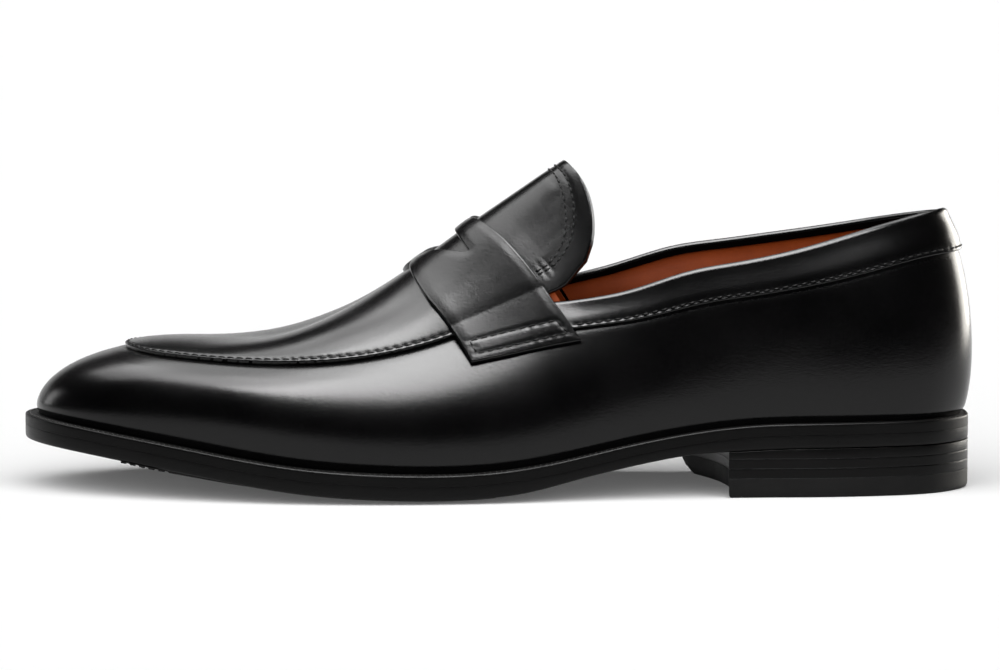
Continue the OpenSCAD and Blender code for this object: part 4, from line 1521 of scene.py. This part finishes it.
@dataclass
class Sole:
    """Welt with its stitches, outsole, tread pad and sock lining.

    Sizes and x values are millimetres; stitch_place is a part of the welt's reach, and stitch_sunk_q
    holds places along the feather line.
    """

    welt: float = 3.6
    welt_width: float = 6.0
    outsole: float = 4.4
    waist_thin: float = 1.1
    waist_x: tuple = (4, 30, 56, 82)
    insole: float = 2.0
    sock: float = 0.9
    sock_inset: float = 4.3
    heel_pad: float = 1.6
    heel_pad_x: tuple = (58, 76)
    pad: float = 1.2
    pad_start: float = -118.6
    pad_end: float = 2.0
    pad_thin: float = 0.5
    pad_thin_x: tuple = (-118, -86)
    pad_inset: tuple = (0.2, 8)
    pad_inset_x: tuple = (-108, -80)
    ribs: int = 40
    rib_depth: float = 0.7
    stitch_place: float = 0.58
    stitch_sunk: float = 0.55
    stitch_sunk_q: tuple = (9.4, 9.9, 13.6, 14.0)
    stitch_pitch: float = 1.8
    steps: int = 640

    def outsole_top(self, x: Number) -> Array:
        """Height of the outsole's upper face."""
        return LAST.seat_z(x) - self.welt

    def outsole_bottom(self, x: Number) -> Array:
        """Height of the outsole's lower face, which rises where the waist is thinned.

        Args:
            x: places from toe to heel.

        Returns:
            Heights over the floor.
        """
        start, full, fading, end = self.waist_x
        waist = smooth(start, full, x) * smooth(end, fading, x)
        return LAST.seat_z(x) - self.welt - self.outsole + self.waist_thin * waist

    def pad_rise(self, x: Number) -> Array:
        """Thickness of the foam under the sock."""
        return self.heel_pad * ramp(*self.heel_pad_x, x)

    def sock_bottom(self, x: Number) -> Array:
        """Height of the sock's underside."""
        return LAST.seat_z(x) + self.insole + 3 * GAP + np.maximum(0.45, self.pad_rise(x))

    def around(self, reaches: Sequence, heights: Callable) -> Array:
        """Loops round the shoe.

        Args:
            reaches: distance out from the feather line, a number or an array for each loop.
            heights: gives the heights of loop k from its number and its x values.

        Returns:
            Array of loops by points by x, y, z.
        """
        q = self.stations()
        loops = []
        for k, reach in enumerate(reaches):
            plan = LAST.plan(q, reach * np.ones_like(q))
            loops.append(np.concatenate([plan, heights(k, plan[:, 0])[:, None]], 1))
        return np.array(loops)

    def stations(self) -> Array:
        """Places round the feather line."""
        return np.arange(self.steps) * ROUND_Q / self.steps

    def welt_seam(self) -> StitchRow:
        """Row that holds the welt to the outsole.

        Returns:
            The row of stitches.
        """
        q = np.linspace(0, ROUND_Q, 4000)
        plan = LAST.plan(q, LAST.welt_reach(q) * self.stitch_place)
        start, full, fading, end = self.stitch_sunk_q
        sunk = self.stitch_sunk * smooth(start, full, q) * smooth(end, fading, q)
        points = np.concatenate([plan, (LAST.seat_z(plan[:, 0]) - GAP - sunk)[:, None]], 1)
        up = np.zeros_like(points)
        up[:, 2] = 1
        line = Line(points, up)
        return StitchRow(
            line, pitch=self.stitch_pitch, thread=0.45, fill=0.5, rise=0.0, dent=0.32, dent_width=0.5
        )

    def build_welt(self) -> None:
        """Welt with a rounded edge, pulled down under its stitches.

        Its profile is laid in millimetres inside the feather line, and outside it in parts of the
        welt's reach; the second of each pair is the height over the seat.
        """
        q = self.stations()
        reach = LAST.welt_reach(q)
        inner = ((-self.welt_width, -GAP), (-0.8, -GAP))
        outer = (
            (0.18, -GAP), (0.36, -GAP), (0.44, -0.02), (0.5, -0.02), (0.55, -0.02), (0.58, -0.02),
            (0.61, -0.02), (0.66, -0.02), (0.72, -0.02), (0.8, -0.03), (0.87, -0.08), (0.93, -0.19),
            (0.97, -0.36), (0.995, -0.62), (1.0, -0.95), (1.004, -1.7), (1.002, -2.7), (1.0, -3.3),
            (1.0, -3.5), (0.997, -3.58), (0.985, -3.6), (0.3, -3.6),
        )
        profile = (*inner, *outer, (-self.welt_width, -self.welt))
        seam = self.welt_seam()
        rows, sunk = [], []
        for part, drop in profile:
            plan = LAST.plan(q, reach * part if part > 0 else np.full_like(q, part))
            point = np.concatenate([plan, (LAST.seat_z(plan[:, 0]) + drop)[:, None]], 1)
            on_top = 1.0 if drop > -0.3 else 0.0
            dent, nearness = (on_top * part_of for part_of in seam.dent_at(point))
            point[:, 2] -= dent
            rows.append(point)
            sunk.append(nearness)
        loops = np.array(rows)
        rim = np.array([np.full_like(q, 1.0 if part > 0.85 else 0.0) for part, _ in profile])
        count, size = loops.shape[:2]
        index = np.arange(count * size).reshape(count, size)
        after, below = np.roll(index, -1, axis=1), np.roll(index, -1, axis=0)
        faces = np.stack([index, below, np.roll(below, -1, axis=1), after], -1).reshape(-1, 4).tolist()
        welt = add_object("welt_strip", loops.reshape(-1, 3), faces, {"rim": rim, "seam": np.array(sunk)})
        place(welt, WELT_LEATHER, "welt_leather", ["welt"])
        place(thread_object("welt_stitches", [seam]), WELT_LINEN, "welt_thread", ["welt_thread"])

    def build_outsole(self) -> None:
        """Outsole with a dressed edge and a closed channel near the rim of its underside."""
        q = self.stations()
        reach = LAST.welt_reach(q)
        edge = (
            (-2.0, 0), (-0.5, 0), (-0.05, 0.0), (-0.01, 0.03), (0.0, 0.1), (0.02, 1.4), (0.0, 2.8),
            (-0.05, 3.5), (-0.2, 3.95), (-0.45, 4.2), (-0.85, 4.33), (-1.4, 4.35),
        )
        channel = (
            (-5.6, 4.35), (-5.75, 4.3), (-5.9, 4.12), (-6.05, 4.12), (-6.2, 4.3), (-6.35, 4.35), (-8.0, 4.35),
        )
        profile = (*edge, *channel)
        whole = self.outsole - GAP
        loops = self.around(
            [reach + out for out, _ in profile],
            lambda k, x: mix(self.outsole_top(x) - GAP, self.outsole_bottom(x), profile[k][1] / whole),
        )
        rim = np.array([np.full_like(q, 1.0 if out > -0.7 and drop > 0 else 0.0) for out, drop in profile])
        place(plate_object("outsole_leather", loops, marks={"rim": rim}), EDGE, "sole_leather", ["outsole"])

    def side_places(self, x: Array, medial: bool) -> Array:
        """Places where the edge of the sole passes the given x values.

        Args:
            x: places from toe to heel in millimetres.
            medial: whether the medial edge is meant.

        Returns:
            Places along the feather line.
        """
        q = np.linspace(0, HEEL_Q, 1200)
        q = mirror_q(q) if medial else q
        edge = LAST.plan(q, LAST.welt_reach(q))[:, 0]
        return np.interp(x, edge, q)

    def build_tread(self) -> None:
        """Ribbed rubber pad under the forepart."""
        pitch = (self.pad_end - self.pad_start) / self.ribs
        beat = np.array([0, 0.02, 0.06, 0.28, 0.5, 0.54, 0.58, 0.62, 0.66, 0.7, 0.8, 0.88, 0.92, 0.95, 0.98])
        x = (self.pad_start + (np.arange(self.ribs)[:, None] + beat[None]) * pitch).ravel()
        beat = np.tile(beat, self.ribs)
        keep = x <= self.pad_start + (self.ribs - 1 + 0.54) * pitch
        x, beat = x[keep], beat[keep]
        full = mix(self.pad_thin, 1, ramp(*self.pad_thin_x, x))
        groove = self.rib_depth * full * smooth(0.53, 0.66, beat) * smooth(1.0, 0.9, beat)
        inset = mix(*self.pad_inset, ramp(*self.pad_inset_x, x))
        sides = []
        for medial in (True, False):
            q = self.side_places(x, medial)
            sides.append(LAST.plan(q, LAST.welt_reach(q) - inset))
        close = [0, 0.004, 0.012, 0.024]
        across = np.concatenate([close, np.linspace(0.05, 0.95, 19), [0.976, 0.988, 0.996, 1]])
        plan = mix(sides[0][:, None], sides[1][:, None], across[None, :, None])
        width = np.linalg.norm(sides[0] - sides[1], axis=1)
        to_side = width[:, None] * np.minimum(across, 1 - across)[None]
        ends = np.minimum(x - x[0], x[-1] - x)[:, None]
        border = smooth(1.2, 2.6, to_side) * ramp(1.0, 2.0, inset)[:, None] + ramp(2.0, 1.0, inset)[:, None]
        thick = self.pad * full[:, None]
        bottom = np.maximum(0, self.outsole_bottom(plan[..., 0]) - thick) + groove[:, None] * border
        bottom = bottom + round_over(np.minimum(to_side, ends + 0.25), 0.5)
        ceiling = self.outsole_bottom(plan[..., 0]) - GAP
        bottom = np.minimum(bottom, ceiling - 0.15)
        lower = np.concatenate([plan, bottom[..., None]], -1)
        upper = np.concatenate([plan, ceiling[..., None]], -1)
        place(sheet_object("tread_ribs", lower, upper), RUBBER, "grip_rubber", ["tread_pad"])

    def build_sock(self) -> None:
        """Sock lining with a soft edge."""
        top = ((-1.6, 0.0), (-0.5, 0.03), (-0.18, 0.12), (0.0, 0.34), (0.0, 0.9), (-1.6, 0.9))
        loops = self.around([-self.sock_inset + out for out, _ in top],
                            lambda k, x: self.sock_bottom(x) + self.sock - top[k][1])
        place(plate_object("sock_leather_sheet", loops), SOCK, "sock_leather", ["sock_lining"])

    def build(self) -> None:
        """All the pieces of the sole."""
        self.build_welt()
        self.build_outsole()
        self.build_tread()
        self.build_sock()


@dataclass
class Heel:
    """Three leather lifts over a rubber top piece, under the sole's rear."""

    sole: Sole
    lift: float = 3.1
    lifts: int = 3
    heel_x: float = 140.0
    breast_lateral: float = 72.6
    breast_medial: float = 60.0
    breast_hollow: float = 6.0
    breast_steps: int = 24
    corner_bevel: float = 4.0
    steps: int = 170

    def __post_init__(self) -> None:
        """Work out the heel's height and the thickness of the top piece."""
        self.height = float(self.sole.outsole_bottom(self.heel_x))
        self.top_piece = self.height - self.lifts * self.lift

    def outline(self, inset: float) -> Array:
        """Outline of a lift in plan, drawn in by inset, anticlockwise seen from above.

        Args:
            inset: distance in from the sole's edge.

        Returns:
            Array of x, y pairs.
        """
        sole = self.sole
        first = float(sole.side_places(np.array([self.breast_lateral]), False)[0])
        last = float(sole.side_places(np.array([self.breast_medial]), True)[0])
        q = np.linspace(first, last, self.steps)
        rim = LAST.plan(q, LAST.welt_reach(q) - inset)
        f = np.linspace(0, 1, self.breast_steps + 2)[1:-1, None]
        arch = np.concatenate([4 * self.breast_hollow * f * (1 - f), 0 * f], 1)
        hollow = mix(rim[-1], rim[0], f) + arch
        outline = np.concatenate([rim, hollow])
        outline[self.steps:, 0] += inset
        outline[[0, self.steps - 1], 0] += inset
        return outline

    def loops(self, profile: Sequence) -> Array:
        """Stack of outlines from pairs of inset and height.

        Args:
            profile: pairs of inset and height; a height may be a function of x.

        Returns:
            Array of loops by points by x, y, z.
        """
        rows = []
        for inset, z in profile:
            plan = self.outline(inset)
            height = z(plan[:, 0]) if callable(z) else np.full(len(plan), z)
            rows.append(np.concatenate([plan, height[:, None]], 1))
        return np.array(rows)

    def dress(self, name: str, loops: Array, finish: Finish, slot: str, node: str) -> None:
        """Make one slab and place it."""
        place(slab_object(name, loops, {"rim": np.ones(loops.shape[:2])}), finish, slot, [node])

    def build_lift(self, n: int) -> None:
        """Lift n, counted from the sole down.

        Args:
            n: its number, from 1.
        """
        low = self.top_piece + (self.lifts - n) * self.lift
        high = low + self.lift - GAP
        side = [(0.05, low), (0.02, low + 0.02), (0.0, low + 0.08), (0.0, low + 0.6)]
        if n == 1:
            under = self.sole.outsole_bottom
            top = [(0.05, lambda x: under(x) - GAP), (0.02, lambda x: under(x) - GAP - 0.02),
                   (0.0, lambda x: under(x) - GAP - 0.08)]
        else:
            top = [(0.05, high), (0.02, high - 0.02), (0.0, high - 0.08), (0.0, high - 0.6)]
        loops = self.loops(top + side[::-1])
        self.dress(f"lift_{n}", loops, EDGE, "heel_leather", f"heel_lift_{n}")

    def build_top_piece(self) -> None:
        """Rubber top piece with a rounded tread edge and a cut-off inner corner."""
        high = self.top_piece - GAP
        top = [(0.05, high), (0.02, high - 0.02), (0.0, high - 0.08), (0.0, high - 0.6)]
        side = [(0.0, 2.6), (0.0, 1.6), (0.06, 1.0), (0.22, 0.5), (0.5, 0.18), (0.9, 0.03), (1.4, 0.0)]
        loops = self.loops(top + side)
        wedge = self.breast_medial + self.corner_bevel - loops[..., 2]
        inner = loops[..., 1] > 0
        loops[..., 0] = np.where(inner, np.maximum(loops[..., 0], wedge), loops[..., 0])
        self.dress("heel_top_piece", loops, RUBBER, "top_piece_rubber", "top_piece")

    def build(self) -> None:
        """All the pieces of the heel."""
        for n in range(1, self.lifts + 1):
            self.build_lift(n)
        self.build_top_piece()


class Inner(Enum):
    """Closed-in CAD nodes that keep their shape, with the finish of each."""

    bottom_filler = Core("cork_filler", (0.16, 0.085, 0.035), (0.42, 0.26, 0.13), 700, 0.25, 0.85)
    shank = Core("spring_steel", (0.32, 0.32, 0.34), (0.55, 0.55, 0.57), 900, 0.02, 0.35, 1.0, (0.1, 1, 1))
    insole_board = Core("insole_leather", (0.33, 0.21, 0.12), (0.52, 0.36, 0.22), 1500, 0.05, 0.7)
    heel_pad = Core("latex_foam", (0.62, 0.55, 0.40), (0.78, 0.72, 0.58), 1800, 0.1, 0.9)
    heel_nails = Core("nail_brass", (0.55, 0.38, 0.13), (0.80, 0.60, 0.26), 1200, 0.02, 0.32, 1.0)
    heel_counter = Core("stiffener_board", (0.42, 0.30, 0.18), (0.60, 0.46, 0.31), 1300, 0.06, 0.8)
    toe_puff = Core("puff_cloth", (0.50, 0.46, 0.38), (0.66, 0.62, 0.54), 1600, 0.08, 0.85, 0.0, (1, 0.4, 1))

    def dress(self) -> None:
        """Put the finish on the node's material slots."""
        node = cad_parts[self.name]
        for entry in node.material_slots:
            entry.material = self.value.material()
        log.info("%s: kept, with %s", self.name, self.value.name)


# ---------------------------------------------------------------- studio


@dataclass(frozen=True)
class Softbox:
    """Rectangular light of even brightness.

    Its centre and the point that it faces are in metres; size is width and height. spin turns it
    about the way that it faces, in degrees.
    """

    name: str
    spot: tuple
    target: tuple
    size: tuple
    radiance: float
    colour: tuple = (1.0, 1.0, 1.0)
    spin: float = 0.0

    def build(self) -> None:
        """Hang the light. It shows in polished surfaces and leaves the floor's brightness alone."""
        data = bpy.data.lights.new(self.name, "AREA")
        data.shape, data.size, data.size_y = "RECTANGLE", *self.size
        data.energy = self.radiance * math.pi * self.size[0] * self.size[1]
        data.color = self.colour
        lamp = bpy.data.objects.new(self.name, data)
        lamp.location = self.spot
        way = (Vector(self.target) - Vector(self.spot)).to_track_quat("-Z", "Y")
        lamp.rotation_euler = (way @ Quaternion((0, 0, 1), math.radians(self.spin))).to_euler()
        lamp.visible_camera = False
        lamp.visible_diffuse = False
        bpy.context.scene.collection.objects.link(lamp)


@dataclass
class Studio:
    """Pale floor, soft lights and the camera."""

    aim: tuple = (0.00064, 0.0, 0.048)
    distance: float = 1.5
    elevation: float = 6.0
    lens: float = 168.4
    sensor: float = 36.0
    far: float = 100.0
    floor_size: float = 60.0
    world: float = 0.012
    sky_power: float = 4.2
    sky_angle: float = 110.0
    sky_tilt: float = 40.0
    floor_glow: float = 0.08
    boxes: tuple = (
        Softbox("front_box", (-0.059, -0.362, 1.25), (-0.059, -0.362, 0.0), (1.42, 0.6), 9.0, spin=-53.6),
        Softbox("front_core", (0.048, -0.507, 1.24), (0.048, -0.507, 0.0), (1.06, 0.6), 16.0, spin=-53.6),
        Softbox("back_box", (0.096, 0.62, 1.25), (0.096, 0.62, 0.0), (1.13, 0.95), 3.5),
        Softbox("back_core", (0.16, 0.2, 1.24), (0.16, 0.2, 0.0), (0.88, 0.6), 5.0),
        Softbox("toe_wash", (-0.72, 0.55, 1.25), (-0.72, 0.55, 0.0), (0.56, 0.9), 4.0),
        Softbox("toe_wash_core", (-0.575, 0.5, 1.24), (-0.575, 0.5, 0.0), (0.25, 0.85), 3.0),
        Softbox("toe_box", (-1.0, 0.52, 0.25), (-0.15, 0.0, 0.04), (0.2, 0.35), 3.0),
        Softbox("heel_box", (0.98, 0.70, 0.24), (0.15, 0.0, 0.06), (0.75, 0.5), 12.0, (1.0, 0.96, 0.88)),
        Softbox("backdrop", (0.0, 3.0, 0.5), (0.0, 0.0, 0.5), (6.0, 1.0), 0.8),
    )

    def build_floor(self) -> None:
        """Wide pale floor under the shoe."""
        half = self.floor_size / 2
        corners = [(-half, -half, 0), (half, -half, 0), (half, half, 0), (-half, half, 0)]
        mesh = bpy.data.meshes.new("floor")
        mesh.from_pydata(corners, [], [(0, 1, 2, 3)])
        floor = bpy.data.objects.new("floor", mesh)
        bpy.context.scene.collection.objects.link(floor)
        g = Graph("paper_floor")
        tone = g.between(g.noise(3, 2, 0.5), 0.3, 0.7)
        paper = g.colours(tone, (0.89, 0.89, 0.89), (0.91, 0.91, 0.91))
        mesh.materials.append(
            g.finish(Base_Color=paper, Roughness=0.9, Specular_IOR_Level=0.0,
                     Emission_Color=(1.0, 1.0, 1.0), Emission_Strength=self.floor_glow)
        )

    def build_lights(self) -> None:
        """Dim surroundings, an even sky that lights the floor, and the softboxes."""
        scene = bpy.context.scene
        world = bpy.data.worlds.new("studio")
        world.use_nodes = True
        world.node_tree.nodes["Background"].inputs["Color"].default_value = (1, 1, 1, 1)
        world.node_tree.nodes["Background"].inputs["Strength"].default_value = self.world
        scene.world = world
        sky = bpy.data.lights.new("sky", "SUN")
        sky.energy, sky.angle = self.sky_power, math.radians(self.sky_angle)
        lamp = bpy.data.objects.new("sky", sky)
        lamp.visible_glossy = False
        lamp.rotation_euler = (math.radians(self.sky_tilt), 0, 0)
        scene.collection.objects.link(lamp)
        for box in self.boxes:
            box.build()

    def build_camera(self) -> None:
        """Camera a little above the shoe, level with its lateral side."""
        data = bpy.data.cameras.new("camera")
        data.sensor_width, data.lens, data.clip_end = self.sensor, self.lens, self.far
        camera = bpy.data.objects.new("camera", data)
        tilt = math.radians(self.elevation)
        camera.location = (
            self.aim[0],
            self.aim[1] - self.distance * math.cos(tilt),
            self.aim[2] + self.distance * math.sin(tilt),
        )
        camera.rotation_euler = (math.pi / 2 - tilt, 0, 0)
        bpy.context.scene.collection.objects.link(camera)
        bpy.context.scene.camera = camera

    def build(self) -> None:
        """Everything that isn't the shoe."""
        bpy.context.scene.view_settings.view_transform = "Standard"
        self.build_camera()
        self.build_floor()
        self.build_lights()


def main() -> None:
    """Build the shoe from the sole up, then the studio."""
    logging.basicConfig(level=logging.INFO, format="%(name)s %(message)s")
    sole = Sole()
    sole.build()
    Heel(sole).build()
    Upper().build()
    for inner in Inner:
        inner.dress()
    Studio().build()


if __name__ == "__main__":
    main()
